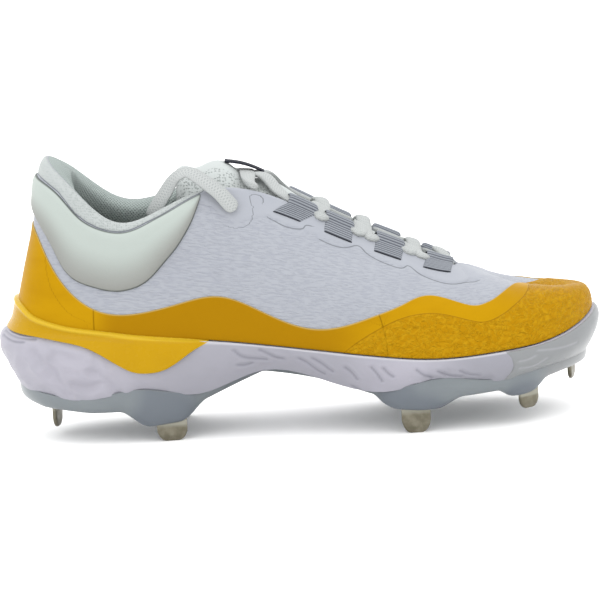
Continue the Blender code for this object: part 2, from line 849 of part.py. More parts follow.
def smooth_route(points, spacing):
    """Points at even steps on a smooth curve through a route's points."""
    points = np.array(points, float)
    lengths = np.concatenate([[0], np.cumsum(np.linalg.norm(np.diff(points, axis=0), axis=1))])
    curve = spline(lengths, points)
    count = max(2, round(lengths[-1] / spacing))
    return curve(np.linspace(0, lengths[-1], count + 1))


# Upper


def make_upper(group, finish):
    """One hollow wall, open at the collar and throat, and underneath."""
    columns = ring_of(side_places(SHARED_ROWS))
    rows = 1 - (1 - np.linspace(0, 1, 11)) ** 1.5
    g, v = np.meshgrid(columns, rows, indexing="ij")
    outer = offset_last(g, v, wall_out(g, v))
    inner = offset_last(g, v, -wall_in(g, v))
    inner[:, 0, 2] = outer[:, 0, 2]
    top_free = np.abs(columns) < THROAT - 1e-9
    mesh = wall_mesh("upper", outer, inner, closed=True, top_free=top_free)
    return add_object("upper", mesh, group, finish)


def layer_rows(low, middle, high, below):
    """Shares of the wall with two rows close to the middle line, and the stated count below it."""
    middle = np.clip(middle, low + 0.05, np.maximum(high - 0.06, low + 0.06))
    step = 0.012
    shares = [low + (middle - step - low) * k for k in np.linspace(0, 1, below)]
    shares += [middle + step + (high - middle - step) * k for k in (0, 0.5, 1)]
    return np.stack(shares, axis=-1)


def gold_low(g):
    """The golden layer starts above the heel clip, or else just above the sole."""
    covered = np.abs(wrapped(g)) * ROWS < CLIP_END + 0.5
    return np.where(covered, clip_high(g) + 0.012, 0.015)


def gold_in(g, v):
    """The layer's inner face, a little further off where the toe curves most."""
    toe = ramp(np.abs(wrapped(g)) * ROWS, THROAT_ROW, 1.5)
    return wall_out(g, v) + GOLD_GAP + GOLD_TOE_GAP * toe


def gold_out(g, v):
    return gold_in(g, v) + GOLD_THICKNESS + RAND_STEP * ramp(rand_top(g) - v, -0.008, 0.016)


def make_gold_layer(name, columns, below, group, finish):
    """One piece of the golden layer, cut from the upper's own form."""
    top_free = np.abs(columns) * ROWS < MEET_ROW
    top = np.where(top_free, np.minimum(gold_top(columns), 0.97), 1.0)
    v = layer_rows(gold_low(columns), rand_top(columns), top, below)
    g = np.broadcast_to(columns[:, None], v.shape)
    outer = offset_last(g, v, gold_out(g, v))
    inner = offset_last(g, v, gold_in(g, v))
    mesh = wall_mesh(name, outer, inner, top_free=top_free)
    return add_object(name, mesh, group, finish)


def make_gold_layers(group, finish):
    """The heel counter, the two bands and the toe guard."""
    counter = places_between(-COUNTER_ROW, COUNTER_ROW)
    make_gold_layer("heel_counter", counter, 3, group, finish)
    start, end = COUNTER_ROW + SEAM_ROWS, GUARD_ROW - SEAM_ROWS
    for name, side in (("band_lateral", 1), ("band_medial", -1)):
        make_gold_layer(name, side * places_between(start, end), 3, group, finish)
    lateral = places_between(GUARD_ROW, ROWS)
    guard = np.concatenate([lateral, -lateral[-2::-1]])
    make_gold_layer("toe_guard", guard, 6, group, finish)


def make_ankle_panel(group, finish):
    """The padded panel round the heel, below the collar's binding."""
    columns = places_between(-PANEL_END, PANEL_END)
    share = np.linspace(0, 1, 6)
    low, high = panel_low(columns)[:, None], panel_high(columns)[:, None]
    v = low + (high - low) * share
    g = np.broadcast_to(columns[:, None], v.shape)
    swell = 0.45 + 0.55 * np.sin(math.pi * share) ** 0.5
    under = wall_out(g, v) + PANEL_GAP
    outer = offset_last(g, v, under + PANEL_THICKNESS * swell)
    inner = offset_last(g, v, under)
    mesh = wall_mesh("ankle_panel", outer, inner)
    return add_object("ankle_panel", mesh, group, finish)


# Sole


def make_midsole(group, finish):
    """The foam, with a dished footbed, stepped in where the bumper wraps the toe."""
    columns = ring_of(side_places(SHARED_ROWS))
    step = (BUMPER_THICKNESS + 2 * FIT_GAP) * bumper_share(columns)
    rings = [offset_sole(columns, share, -step) for share in SIDE_SHARES]
    rings[0][:, 2] = floor_height(rings[0][:, 0], rings[0][:, 1])
    edge = UPPER_WALL + FOOTBED_LIP
    inner = base_line(columns) - outward(base_line, columns) * edge - UP * FIT_GAP
    foot = base_line(columns) - outward(base_line, columns) * (edge + FOOTBED_SLOPE)
    foot[:, 2] = footbed_height(foot[:, 0], foot[:, 1])
    mesh = slab_mesh("midsole", [*rings, inner, foot], floor_height, footbed_height)
    return add_object("midsole", mesh, group, finish)


def make_insole(group, finish):
    columns = ring_of(side_places(SHARED_ROWS))
    inset = UPPER_WALL + FOOTBED_LIP + FOOTBED_SLOPE + 2 * FIT_GAP
    edge = base_line(columns) - outward(base_line, columns) * inset

    def bottom(x, y):
        return footbed_height(x, y) + 1.5 * FIT_GAP

    def top(x, y):
        return bottom(x, y) + INSOLE_THICKNESS

    rings = []
    for height in (bottom, top):
        ring = edge.copy()
        ring[:, 2] = height(ring[:, 0], ring[:, 1])
        rings.append(ring)
    return add_object("insole", slab_mesh("insole", rings, bottom, top), group, finish)


def plate_height(x, y=0.0):
    """The underside of the plate."""
    table = np.array(SOLE)[:, 0], sole_height_at(np.array(PLATE)[:, 0])
    return np.interp(station_at(x), *table)


def boss_mesh(name, along, across, low, high):
    """A flared oval boss that stands down from the plate."""
    work = bmesh.new()
    bmesh.ops.create_cone(
        work, cap_ends=True, segments=14, radius1=0.5, radius2=0.5 * BOSS_FLARE, depth=1
    )
    for vert in work.verts:
        vert.co.x *= along
        vert.co.y *= across
        vert.co.z = low if vert.co.z < 0 else high
    return finish_mesh(name, work)


def spike_mesh(name, low, high, grow=0.0):
    """A flat blade with round tip corners. Grow makes the slot that it fits."""
    half = SPIKE_WIDTH / 2 + grow
    tip = SPIKE_WIDTH * SPIKE_TIP_SHARE / 2 + grow
    corner = SPIKE_CORNER
    outline = [(half, high), (half - (half - tip) * 0.6, low + (high - low) * 0.35)]
    for k in range(4):
        angle = math.pi / 2 * k / 3
        outline.append(
            (tip - corner + corner * math.cos(angle), low + corner - corner * math.sin(angle))
        )
    outline += [(-a, z) for a, z in outline[::-1]]
    work = bmesh.new()
    face = work.faces.new([work.verts.new((a, -SPIKE_THICKNESS / 2 - grow, z)) for a, z in outline])
    made = bmesh.ops.extrude_face_region(work, geom=[face])
    moved = [item for item in made["geom"] if isinstance(item, bmesh.types.BMVert)]
    bmesh.ops.translate(work, verts=moved, vec=(0, SPIKE_THICKNESS + 2 * grow, 0))
    return finish_mesh(name, work)


def place_spike(obj, station, width, turn):
    obj.location = (length_at(station), BALL_WIDTH * width, 0)
    obj.rotation_euler = (0, 0, math.radians(turn))


def bumper_mesh():
    """The wall that wraps the toe, rooted in the plate."""
    lateral = places_between(BUMPER_ROW + SEAM_ROWS / 2, ROWS)
    columns = np.concatenate([lateral, -lateral[-2::-1]])
    out = outward(bulge_line, columns)
    root = sole_surface(columns, 0.0) - UP * BUMPER_ROOT
    outer = [root - out * BUMPER_ROOT / 2, *[sole_surface(columns, k) for k in SIDE_SHARES]]
    inner = [root - out * BUMPER_THICKNESS]
    inner += [face - out * BUMPER_THICKNESS for face in outer[1:]]
    return wall_mesh("toe_bumper", np.stack(outer, axis=1), np.stack(inner, axis=1))


def make_outsole(group, helpers, finish):
    """The plate with its toe bumper, its bosses joined on and a slot for each spike."""
    columns = ring_of(side_places(SHARED_ROWS))
    out = outward(bulge_line, columns)
    under, waist = np.moveaxis(plate_line(columns), -1, 0)
    waist = np.clip(waist, 0, 1)[:, None] * BALL_WIDTH
    lower = sole_surface(columns, 0.0)
    top = lower - out * waist
    top[:, 2] = floor_height(top[:, 0], top[:, 1]) - PLATE_GAP
    flat = lower - out * (waist + PLATE_EDGE)
    flat[:, 2] = plate_height(flat[:, 0])
    side = lower - out * (waist + PLATE_EDGE * 0.25)
    side[:, 2] = np.minimum(plate_height(side[:, 0]) + PLATE_ROUND, top[:, 2] - 0.0008)
    mesh = slab_mesh(
        "outsole", [flat, side, top], plate_height, lambda x, y: floor_height(x, y) - PLATE_GAP
    )
    plate = add_object("outsole", mesh, group, finish)
    boolean(plate, bpy.data.objects.new("toe_bumper", bumper_mesh()), "UNION", helpers)
    for name, station, width, turn, blade, tip, root, foot_shares in SPIKES:
        low = STUD_HEIGHT * root
        high = float(plate_height(length_at(station))) + BOSS_SINK
        along, across = [BALL_WIDTH * share for share in foot_shares]
        boss = bpy.data.objects.new(
            f"boss_{name}", boss_mesh(f"boss_{name}", along, across, low, high)
        )
        place_spike(boss, station, width, turn)
        boolean(plate, boss, "UNION", helpers)
    for name, station, width, turn, blade, tip, root, foot_shares in SPIKES:
        low, high = STUD_HEIGHT * tip, STUD_HEIGHT * root + SPIKE_SLOT
        slot = bpy.data.objects.new(
            f"slot_{name}", spike_mesh(f"slot_{name}", low, high + FIT_GAP, grow=FIT_GAP)
        )
        place_spike(slot, station, width, turn)
        slot.scale.x = blade
        boolean(plate, slot, "DIFFERENCE", helpers)
    return plate


def make_spikes(group, finish):
    for name, station, width, turn, blade, tip, root, foot_shares in SPIKES:
        low, high = STUD_HEIGHT * tip, STUD_HEIGHT * root + SPIKE_SLOT
        mesh = spike_mesh(f"spike_{name}", low, high)
        spike = add_object(f"spike_{name}", mesh, group, finish)
        place_spike(spike, station, width, turn)
        spike.scale.x = blade


def make_heel_clip(group, finish):
    """The clip cups the sole's side, turns over its lip and climbs the upper's wall."""
    columns = places_between(-CLIP_END, CLIP_END)
    out = outward(bulge_line, columns)
    low, high = clip_low(columns), clip_high(columns)
    faces = []
    for offset, lip_out, lip_up in ((FIT_GAP, FIT_GAP, FIT_GAP), (FIT_GAP + CLIP_THICKNESS,) * 3):
        rows = [offset_sole(columns, low + (0.99 - low) * k, offset) for k in (0, 0.35, 0.7, 1)]
        climb = last_surface(columns, high)[:, 2] - base_line(columns)[:, 2]
        up = np.minimum(lip_up, 0.4 * climb)[:, None]
        rows.append(lip_line(columns) + out * lip_out * 0.7 + UP * up)
        rows += [offset_last(columns, high * k, offset) for k in (0.4, 0.7, 1)]
        faces.append(np.stack(rows, axis=1))
    mesh = wall_mesh("heel_clip", faces[1], faces[0])
    return add_object("heel_clip", mesh, group, finish)


# Tongue and laces


def make_tongue(group, finish):
    """A padded, arched tongue that starts under the vamp and stands free at its top."""
    across = np.array([-1, -0.82, -0.64, -0.42, -0.2, 0, 0.2, 0.42, 0.64, 0.82, 1])
    rows = tongue_table[::-1, 0]
    row, s = np.meshgrid(rows, across, indexing="ij")
    grid = tongue_top(row, s)
    last = grid[-1]
    middle = last.mean(axis=0)
    lips = []
    for back, up, keep in TONGUE_LIP:
        lip = last.copy()
        lip[:, 1] = middle[1] + (last[:, 1] - middle[1]) * keep
        lips.append(lip + np.array([-back, 0, up]))
    grid = np.concatenate([grid, np.stack(lips)])
    thickness = np.concatenate([tongue_form(rows)[:, 2], [0.0046, 0.0024]])
    edge = 0.35 + 0.65 * (1 - across**4)
    inner = grid - grid_normals(grid) * (thickness[:, None] * edge)[..., None]
    mesh = wall_mesh("tongue", grid, inner)
    return add_object("tongue", mesh, group, finish)


def make_tongue_tab(group, finish):
    """The keeper strip, straight over the hollow at the top of the tongue."""
    rows = np.linspace(*TAB_ROWS, 7)
    across = np.linspace(-0.26, 0.26, 5)
    row, s = np.meshgrid(rows, across, indexing="ij")
    grid = tongue_top(row, s)
    rise = TAB_RISE * np.sin(math.pi * np.linspace(0, 1, 7))[:, None, None] ** 0.7
    low = grid + grid_normals(grid) * (FIT_GAP + rise)
    high = low + grid_normals(grid) * TAB_THICKNESS
    return add_object("tongue_tab", wall_mesh("tongue_tab", high, low), group, finish)


def loop_frame(g):
    """The throat edge with the wall's outward normal and its upward direction there."""
    edge = top_line(g)
    normal = last_normal(g, np.full(np.shape(g), 0.95))
    return edge, normal, unit(edge - last_surface(g, np.full(np.shape(g), 0.94)))


LOOP_RADIUS = LACE_DIAMETER / 2 + 1.6 * FIT_GAP


def loop_centre(g):
    """Where the lace runs: inside the loops, just past the throat edge."""
    edge, normal, up = loop_frame(g)
    return edge + up * (LOOP_RADIUS + FIT_GAP) - normal * RIM_WALL / 2


def loop_span(row, side):
    """The places of a loop's two ends along the throat edge."""
    g = np.array([row - 0.5, row + 0.5]) * side / ROWS
    per_row = np.linalg.norm(np.diff(top_line(g), axis=0))
    half = LOOP_LENGTH / 2 / per_row
    return side * (row - half) / ROWS, side * (row + half) / ROWS


def make_loop(name, row, side, group, finish):
    """A webbing loop folded over the throat edge."""
    g = np.linspace(*loop_span(row, side), 3)
    edge, normal, up = loop_frame(g)
    size = np.linalg.norm(edge - base_line(g), axis=-1)
    centre = loop_centre(g)
    faces = []
    for grow in (0.0, LOOP_THICKNESS):
        rows = []
        for leg in (1.0, 0.5, 0.08):
            v = 1 - leg * LOOP_OUTER_LEG / size
            rows.append(offset_last(g, v, wall_out(g, v) + LOOP_GAP + grow))
        for degrees in (-20, 25, 70, 115, 160, 205):
            angle = math.radians(degrees)
            spoke = normal * math.cos(angle) + up * math.sin(angle)
            rows.append(centre + spoke * (LOOP_RADIUS + grow))
        for leg in (0.2, 1.0):
            v = 1 - leg * LOOP_INNER_LEG / size
            rows.append(offset_last(g, v, -wall_in(g, v) - LOOP_GAP - grow))
        faces.append(np.stack(rows, axis=1))
    return add_object(name, wall_mesh(name, faces[1], faces[0]), group, finish)


def make_loops(group, finish):
    for side, word in ((1, "lateral"), (-1, "medial")):
        for number, row in enumerate(LOOP_ROWS, 1):
            make_loop(f"lace_loop_{word}_{number}", row, side, group, finish)


def lace_over(row, s, lift=0.0):
    """A lace centre that lies on the tongue."""
    small = 0.02
    here = tongue_top(row, s)
    along = tongue_top(row + small, s) - here
    across = tongue_top(row, s + small) - here
    normal = unit(np.cross(along, across))
    normal = normal * np.sign(normal[2])
    return here + normal * (LACE_DIAMETER / 2 + 2 * FIT_GAP + lift)


def lace_route(side):
    """From the bar at the front, through the loops by turns, to a top loop."""
    route = [lace_over(BAR_ROW, 0.04 * side, BAR_LIFT), lace_over(BAR_ROW, -0.30 * side, BAR_LIFT)]
    for count, row in enumerate(reversed(LOOP_ROWS)):
        here = side * (-1) ** count
        near, far = sorted(loop_span(row, here), key=abs)
        for share in (1.18, 0.9, 0.5, 0.1, -0.25):
            route.append(loop_centre(np.array(near + (far - near) * share)))
        if count < len(LOOP_ROWS) - 1:
            following = LOOP_ROWS[-2 - count]
            middle = (row + following) / 2
            for s, shift in ((-0.30, 0.03), (0.0, 0.0), (0.30, -0.03)):
                route.append(lace_over(middle + shift, s * here, 0.0006))
    return route


def make_lace_crossings(group, helpers, finish):
    """Both halves of the lace, joined at the front bar and wherever they cross."""
    halves = [smooth_route(lace_route(side), LACE_STEP) for side in (1, -1)]
    crossings = add_object(
        "lace_crossings", tube_mesh("lace_crossings", halves[0], LACE_DIAMETER), group, finish
    )
    other = bpy.data.objects.new("lace_half", tube_mesh("lace_half", halves[1], LACE_DIAMETER))
    boolean(crossings, other, "UNION", helpers)
    return crossings


def make_lace_end(group, finish):
    """The free end, which starts just past the crossings."""
    route = smooth_route(LACE_END_ROUTE, LACE_END_STEP)
    end = tube("lace_end", route, LACE_END_DIAMETER)
    end.data.materials.append(finish)
    group.objects.link(end)


def main():
    clear_scene()
    shoe = make_collection("baseball_cleat")
    helpers = make_collection("helpers")
    knit = material("white_knit", (0.80, 0.80, 0.85), 0.7)
    gold = material("golden_film", (0.80, 0.42, 0.01), 0.42)
    clip = material("yellow_clip", (0.92, 0.55, 0.01), 0.25)
    panel = material("pale_panel", (0.62, 0.68, 0.66), 0.6)
    foam = material("white_foam", (0.74, 0.73, 0.82), 0.5)
    ice = material("icy_plate", (0.50, 0.60, 0.66), 0.35)
    steel = material("spike_steel", (0.58, 0.55, 0.48), 0.35, 1.0)
    mesh_cloth = material("tongue_mesh", (0.62, 0.68, 0.66), 0.8)
    dark = material("dark_strip", (0.01, 0.012, 0.03), 0.6)
    webbing = material("grey_webbing", (0.30, 0.33, 0.38), 0.8)
    lace = material("white_lace", (0.78, 0.80, 0.78), 0.8)
    lining = material("insole_cloth", (0.60, 0.66, 0.64), 0.85)

    make_upper(shoe, knit)
    make_gold_layers(shoe, gold)
    make_ankle_panel(shoe, panel)
    make_midsole(shoe, foam)
    make_insole(shoe, lining)
    make_outsole(shoe, helpers, ice)
    make_spikes(shoe, steel)
    make_heel_clip(shoe, clip)
    make_tongue(shoe, mesh_cloth)
    make_tongue_tab(shoe, dark)
    make_loops(shoe, webbing)
    make_lace_crossings(shoe, helpers, lace)
    make_lace_end(shoe, lace)


main()
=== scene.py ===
"""The look of the baseball cleat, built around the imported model.

Metres, +Z up, +X from heel to toe, the outer (lateral) side at -Y. The form functions are the
part's own, so the skins lie where the solids are. Some differ, as the photo shows: the tongue's
crown and the toe's top lie lower, and the golden layer's edge at the toe runs further forward. A
row counts sections along each side, from the heel (0) to the toe (14), and g is a row's share of
them, below 0 on the medial side.
"""

import math

import bmesh
import bpy
import numpy as np
from mathutils import Matrix, Vector, kdtree, noise


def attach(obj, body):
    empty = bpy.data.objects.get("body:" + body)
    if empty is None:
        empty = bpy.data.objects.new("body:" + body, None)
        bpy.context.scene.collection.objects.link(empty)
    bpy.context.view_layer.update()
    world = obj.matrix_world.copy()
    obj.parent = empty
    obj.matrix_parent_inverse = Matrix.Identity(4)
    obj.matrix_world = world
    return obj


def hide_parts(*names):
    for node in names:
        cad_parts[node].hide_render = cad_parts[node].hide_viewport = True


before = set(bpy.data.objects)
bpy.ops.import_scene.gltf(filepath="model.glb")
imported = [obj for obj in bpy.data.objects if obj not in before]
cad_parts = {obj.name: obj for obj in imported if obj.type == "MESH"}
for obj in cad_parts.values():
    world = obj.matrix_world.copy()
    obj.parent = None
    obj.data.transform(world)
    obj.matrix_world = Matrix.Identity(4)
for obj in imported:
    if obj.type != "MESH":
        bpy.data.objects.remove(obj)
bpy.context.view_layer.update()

# Main sizes of the shoe
SHOE_LENGTH = 0.300
BALL_WIDTH = 0.105
STUD_HEIGHT = 0.015  # ground to the underside of the heel plate
SOLE_HEIGHT = 0.035  # underside of the heel plate to the bite line at the waist
UPPER_HEIGHT = 0.091  # bite line at the waist to the top of the heel collar

# Walls and layers
UPPER_WALL = 0.0024
COLLAR_PAD = 0.0068  # how far the padded collar stands in from the wall
COLLAR_PROUD = 0.0030  # how far the padded collar stands out from the wall
RIM_WALL = 0.0012
CLIP_THICKNESS = 0.0020
BUMPER_THICKNESS = 0.0026
INSOLE_THICKNESS = 0.0040
FIT_GAP = 0.0003
LOOP_GAP = 0.0004

# Sole details
FOOTBED_LIP = 0.0005  # from the upper's inner face to the footbed's edge
FOOTBED_SLOPE = 0.0020  # how far the footbed's side runs in
PLATE_EDGE = 0.0045  # how far the plate's flat underside lies in from its edge
SPIKE_WIDTH = 0.0150
SPIKE_TIP_SHARE = 0.74  # width of a spike at its tip against its root
SPIKE_THICKNESS = 0.0024
SPIKE_CORNER = 0.0024
SPIKE_SLOT = 0.0030  # how deep a spike sits in its boss

# Laces
LACE_DIAMETER = 0.0042
LOOP_LENGTH = 0.0132
LOOP_THICKNESS = 0.0012
LOOP_OUTER_LEG = 0.0095
LOOP_INNER_LEG = 0.0050

ROWS = 14  # sections from the heel (0) to the toe (14) on each side

# The upper's lower edge. Station: share of the length from the heel. Widths: shares of the ball
# width, lateral negative. Heights: shares of the sole height.
BASE = (
    # station, lateral, medial, lateral height, medial height
    (0.022, 0.0, 0.0, 1.23, 1.23), (0.04, -0.181, 0.181, 1.2, 1.2),
    (0.087, -0.286, 0.286, 1.16, 1.17), (0.157, -0.329, 0.324, 1.11, 1.17),
    (0.24, -0.338, 0.324, 1.06, 1.16), (0.333, -0.333, 0.305, 1.0, 1.12),
    (0.433, -0.357, 0.31, 0.9, 1.04), (0.533, -0.41, 0.357, 0.79, 0.91),
    (0.627, -0.457, 0.424, 0.69, 0.77), (0.717, -0.476, 0.467, 0.63, 0.67),
    (0.807, -0.438, 0.462, 0.66, 0.67), (0.883, -0.352, 0.405, 0.72, 0.73),
    (0.942, -0.224, 0.305, 0.85, 0.85), (0.978, -0.076, 0.19, 1.0, 1.0),
    (0.988, 0.062, 0.062, 1.07, 1.07),
)

# The collar and throat edge, by row number. Heights: shares of the upper height.
EDGE = (
    # row, station, lateral, medial, lateral height, medial height
    (0, 0.093, 0.0, 0.0, 1.0, 1.0), (1, 0.101, -0.133, 0.133, 0.967, 0.978),
    (2, 0.128, -0.224, 0.224, 0.879, 0.912), (3, 0.17, -0.276, 0.276, 0.736, 0.791),
    (4, 0.223, -0.295, 0.29, 0.643, 0.714), (5, 0.293, -0.286, 0.276, 0.72, 0.758),
    (6, 0.367, -0.252, 0.243, 0.797, 0.819), (7, 0.46, -0.21, 0.21, 0.742, 0.758),
    (8, 0.567, -0.195, 0.195, 0.566, 0.577), (9, 0.673, -0.171, 0.181, 0.407, 0.418),
    (9.6, 0.74, -0.142, 0.152, 0.317, 0.324), (9.85, 0.761, -0.082, 0.098, 0.297, 0.3),
    (10, 0.767, 0.01, 0.01, 0.291, 0.291),
)
THROAT_ROW = 10

# The ridge of the toe box, from the throat to the toe.
RIDGE = (
    # row, station, width, height
    (10, 0.767, 0.01, 0.291), (11, 0.813, 0.029, 0.242), (12, 0.85, 0.048, 0.208),
    (13, 0.877, 0.06, 0.187), (14, 0.888, 0.064, 0.179),
)

# How the wall leaves the sole and arrives at its top edge.
FULLNESS = (
    # lean at the base, reach at the base, fall at the top (degrees), reach at the top,
    # swing of the top (degrees from straight back)
    (-0.22, 0.35, 78, 0.32, 0), (-0.18, 0.35, 78, 0.32, 32), (-0.1, 0.35, 80, 0.32, 58),
    (-0.03, 0.35, 82, 0.32, 80), (0.0, 0.35, 82, 0.32, 90), (0.02, 0.35, 80, 0.32, 90),
    (0.04, 0.36, 70, 0.32, 90), (0.06, 0.38, 60, 0.32, 90), (0.08, 0.4, 48, 0.32, 90),
    (0.08, 0.42, 36, 0.34, 90), (0.08, 0.44, 6, 0.42, 90), (0.08, 0.44, 0, 0.44, 92),
    (0.06, 0.46, 2, 0.48, 108), (0.04, 0.46, 6, 0.52, 142), (0.03, 0.46, 8, 0.54, 180),
)

# The sole's side. Bulge: its widest line. Inset: how far the lower edge lies in from the bulge,
# as a share of the ball width. Heights: shares of the sole height above the heel plate.
SOLE = (
    # station, lateral, medial, bulge height lateral, medial, inset, lower edge lateral, medial
    (0.0, 0.0, 0.0, 0.99, 0.99, 0.066, 0.43, 0.43),
    (0.019, -0.2, 0.2, 0.92, 0.92, 0.062, 0.38, 0.38),
    (0.07, -0.324, 0.324, 0.79, 0.8, 0.052, 0.3, 0.3),
    (0.15, -0.381, 0.381, 0.68, 0.7, 0.043, 0.23, 0.24),
    (0.24, -0.386, 0.376, 0.65, 0.69, 0.035, 0.33, 0.32),
    (0.333, -0.367, 0.343, 0.61, 0.7, 0.038, 0.24, 0.28),
    (0.433, -0.376, 0.33, 0.72, 0.82, 0.03, 0.53, 0.58),
    (0.533, -0.424, 0.376, 0.58, 0.67, 0.034, 0.36, 0.43),
    (0.627, -0.476, 0.443, 0.45, 0.5, 0.034, 0.19, 0.23),
    (0.717, -0.499, 0.49, 0.47, 0.46, 0.03, 0.33, 0.3),
    (0.81, -0.462, 0.486, 0.45, 0.45, 0.038, 0.25, 0.26),
    (0.89, -0.371, 0.429, 0.5, 0.5, 0.046, 0.34, 0.34),
    (0.952, -0.238, 0.329, 0.62, 0.62, 0.052, 0.4, 0.4),
    (0.99, -0.078, 0.204, 0.78, 0.78, 0.056, 0.44, 0.44),
    (1.0, 0.066, 0.066, 0.86, 0.86, 0.058, 0.46, 0.46),
)

# The plate under the sole. Waist: how far its edge lies in from the sole's, as a share of the width.
PLATE = (
    # underside height (share of the sole height), waist
    (0.29, 0.0), (0.21, 0.0), (0.08, 0.0), (0.02, 0.0), (0.03, 0.0), (0.1, 0.04), (0.4, 0.2),
    (0.26, 0.16), (0.08, 0.03), (0.04, 0.0), (0.09, 0.0), (0.17, 0.0), (0.23, 0.0), (0.26, 0.0),
    (0.27, 0.0),
)

# Spikes and their bosses. Station and width place the middle. Heights: shares of the stud height.
# Boss: the lengths of its foot along and across the blade, as shares of the ball width.
SPIKES = (
    # name, station, width, turn (degrees), blade share, tip height, root height, boss
    ("heel_lateral", 0.2800, -0.290, 5, 1.00, 0.00, 0.60, (0.20, 0.11)),
    ("heel_medial", 0.2800, 0.282, -5, 1.00, 0.00, 0.60, (0.20, 0.11)),
    ("heel_rear", 0.0800, 0.020, 84, 1.00, 0.27, 0.98, (0.15, 0.07)),
    ("ball_lateral", 0.6780, -0.395, 3, 0.95, 0.00, 0.78, (0.18, 0.10)),
    ("ball_medial", 0.6880, 0.385, -4, 0.95, 0.00, 0.78, (0.18, 0.10)),
    ("fore_lateral", 0.8650, -0.300, 40, 0.85, 0.50, 1.02, (0.15, 0.09)),
    ("fore_medial", 0.8680, 0.330, -34, 0.85, 0.50, 1.02, (0.15, 0.09)),
    ("toe", 0.9545, 0.060, 72, 0.85, 0.94, 1.50, (0.12, 0.05)),
)

# How far the footbed lies below the bite line, as a share of the sole height.
FOOTBED = (
    # station, depth
    (0.0, 0.44), (0.15, 0.42), (0.33, 0.3), (0.5, 0.14), (0.72, 0.09), (0.9, 0.16), (1.0, 0.22),
)

# How far the toe's top lies below the solid's: row, drop
TOE_DROP = ((10.4, 0), (11.2, 0.0016), (12.0, 0.0029), (13.0, 0.0041), (14.0, 0.0054))

# Edges of the golden layer, by row: shares of the wall from the sole to the collar or ridge.
GOLD_TOP = (
    # row, lateral, medial
    (0.0, 0.6, 0.6), (1.07, 0.57, 0.57), (1.86, 0.45, 0.46), (2.57, 0.3, 0.32), (3.29, 0.2, 0.22),
    (4.1, 0.22, 0.2), (4.87, 0.28, 0.22), (5.59, 0.29, 0.22), (6.17, 0.19, 0.17),
    (6.8, 0.12, 0.13), (7.5, 0.17, 0.18), (8.02, 0.26, 0.26), (8.66, 0.4, 0.38), (9.2, 0.51, 0.46),
    (9.64, 0.43, 0.42), (9.97, 0.37, 0.38), (10.37, 0.42, 0.42), (10.84, 0.53, 0.52),
    (11.36, 0.66, 0.5), (11.9, 0.78, 0.5), (12.4, 0.88, 0.6), (13.0, 1.08, 1.08), (14.0, 1.6, 1.6),
)

# The textured rand along the sole, a step in the golden layer.
RAND_TOP = (
    # row, lateral, medial
    (0.0, -0.6, -0.6), (6.0, -0.5, -0.5), (7.34, 0.0, 0.0), (7.93, 0.15, 0.15), (8.34, 0.24, 0.23),
    (8.78, 0.31, 0.29), (9.2, 0.33, 0.31), (9.68, 0.26, 0.26), (9.93, 0.22, 0.23),
    (10.23, 0.24, 0.25), (10.6, 0.31, 0.32), (11.38, 0.5, 0.5), (12.0, 0.69, 0.44),
    (12.5, 0.79, 0.54), (14.0, 1.6, 1.6),
)

# The tongue, from under the vamp to its free top.
TONGUE = (
    # row, crown height, clearance under the wall, thickness
    (10.6, -0.005, 0.0009, 0.0026), (10.2, -0.0068, 0.0012, 0.0028), (9.9, -0.009, 0.0022, 0.003),
    (9.6, -0.0026, 0.002, 0.0036), (9.3, 0.0004, 0.0032, 0.0044), (8.95, 0.0012, 0.003, 0.005),
    (8.5, 0.0024, 0.003, 0.0052), (8.0, 0.0026, 0.003, 0.0052), (7.5, 0.0034, 0.003, 0.0054),
    (7.0, 0.0052, 0.003, 0.0056), (6.62, 0.0044, 0.0028, 0.0058), (6.3, 0.01, 0.0024, 0.006),
    (6.0, 0.0106, 0.002, 0.006), (5.6, 0.0096, 0.002, 0.0056),
)
TONGUE_LIP = (
    # back, up, share of the width kept
    (0.005, 0.0012, 0.9), (0.0085, -0.0006, 0.62),
)

TAB_ROWS = (6.96, 6.28)
TONGUE_EDGE = 0.64  # share of the tongue's half width that is free of the wall

# The free end of the lateral lace, in metres: under the strip, down behind the tongue, and up
# over the collar.
LACE_END_ROUTE = (
    (-0.0173, -0.0207, 0.1216), (-0.0201, -0.021, 0.1227), (-0.022, -0.0175, 0.1246),
    (-0.0224, -0.012, 0.1263), (-0.0228, -0.006, 0.1277), (-0.0232, 0.0, 0.1286),
    (-0.024, 0.0063, 0.1287), (-0.0265, 0.012, 0.1282), (-0.0315, 0.0152, 0.1287),
    (-0.038, 0.0165, 0.1284), (-0.0455, 0.0164, 0.1276), (-0.053, 0.0148, 0.1278),
    (-0.06, 0.011, 0.1245), (-0.0655, 0.005, 0.117), (-0.069, -0.0035, 0.1095),
    (-0.071, -0.0125, 0.1063), (-0.0703, -0.0183, 0.1093), (-0.066, -0.0213, 0.1168),
    (-0.061, -0.0235, 0.124), (-0.0565, -0.026, 0.1293), (-0.0505, -0.0285, 0.131),
    (-0.0455, -0.031, 0.1283), (-0.0405, -0.0326, 0.1246), (-0.035, -0.0334, 0.1196),
    (-0.032, -0.0334, 0.1158), (-0.0285, -0.0332, 0.112),
)

# Where the pieces of the golden layer meet
COUNTER_ROW = 3.10
GUARD_ROW = 8.10


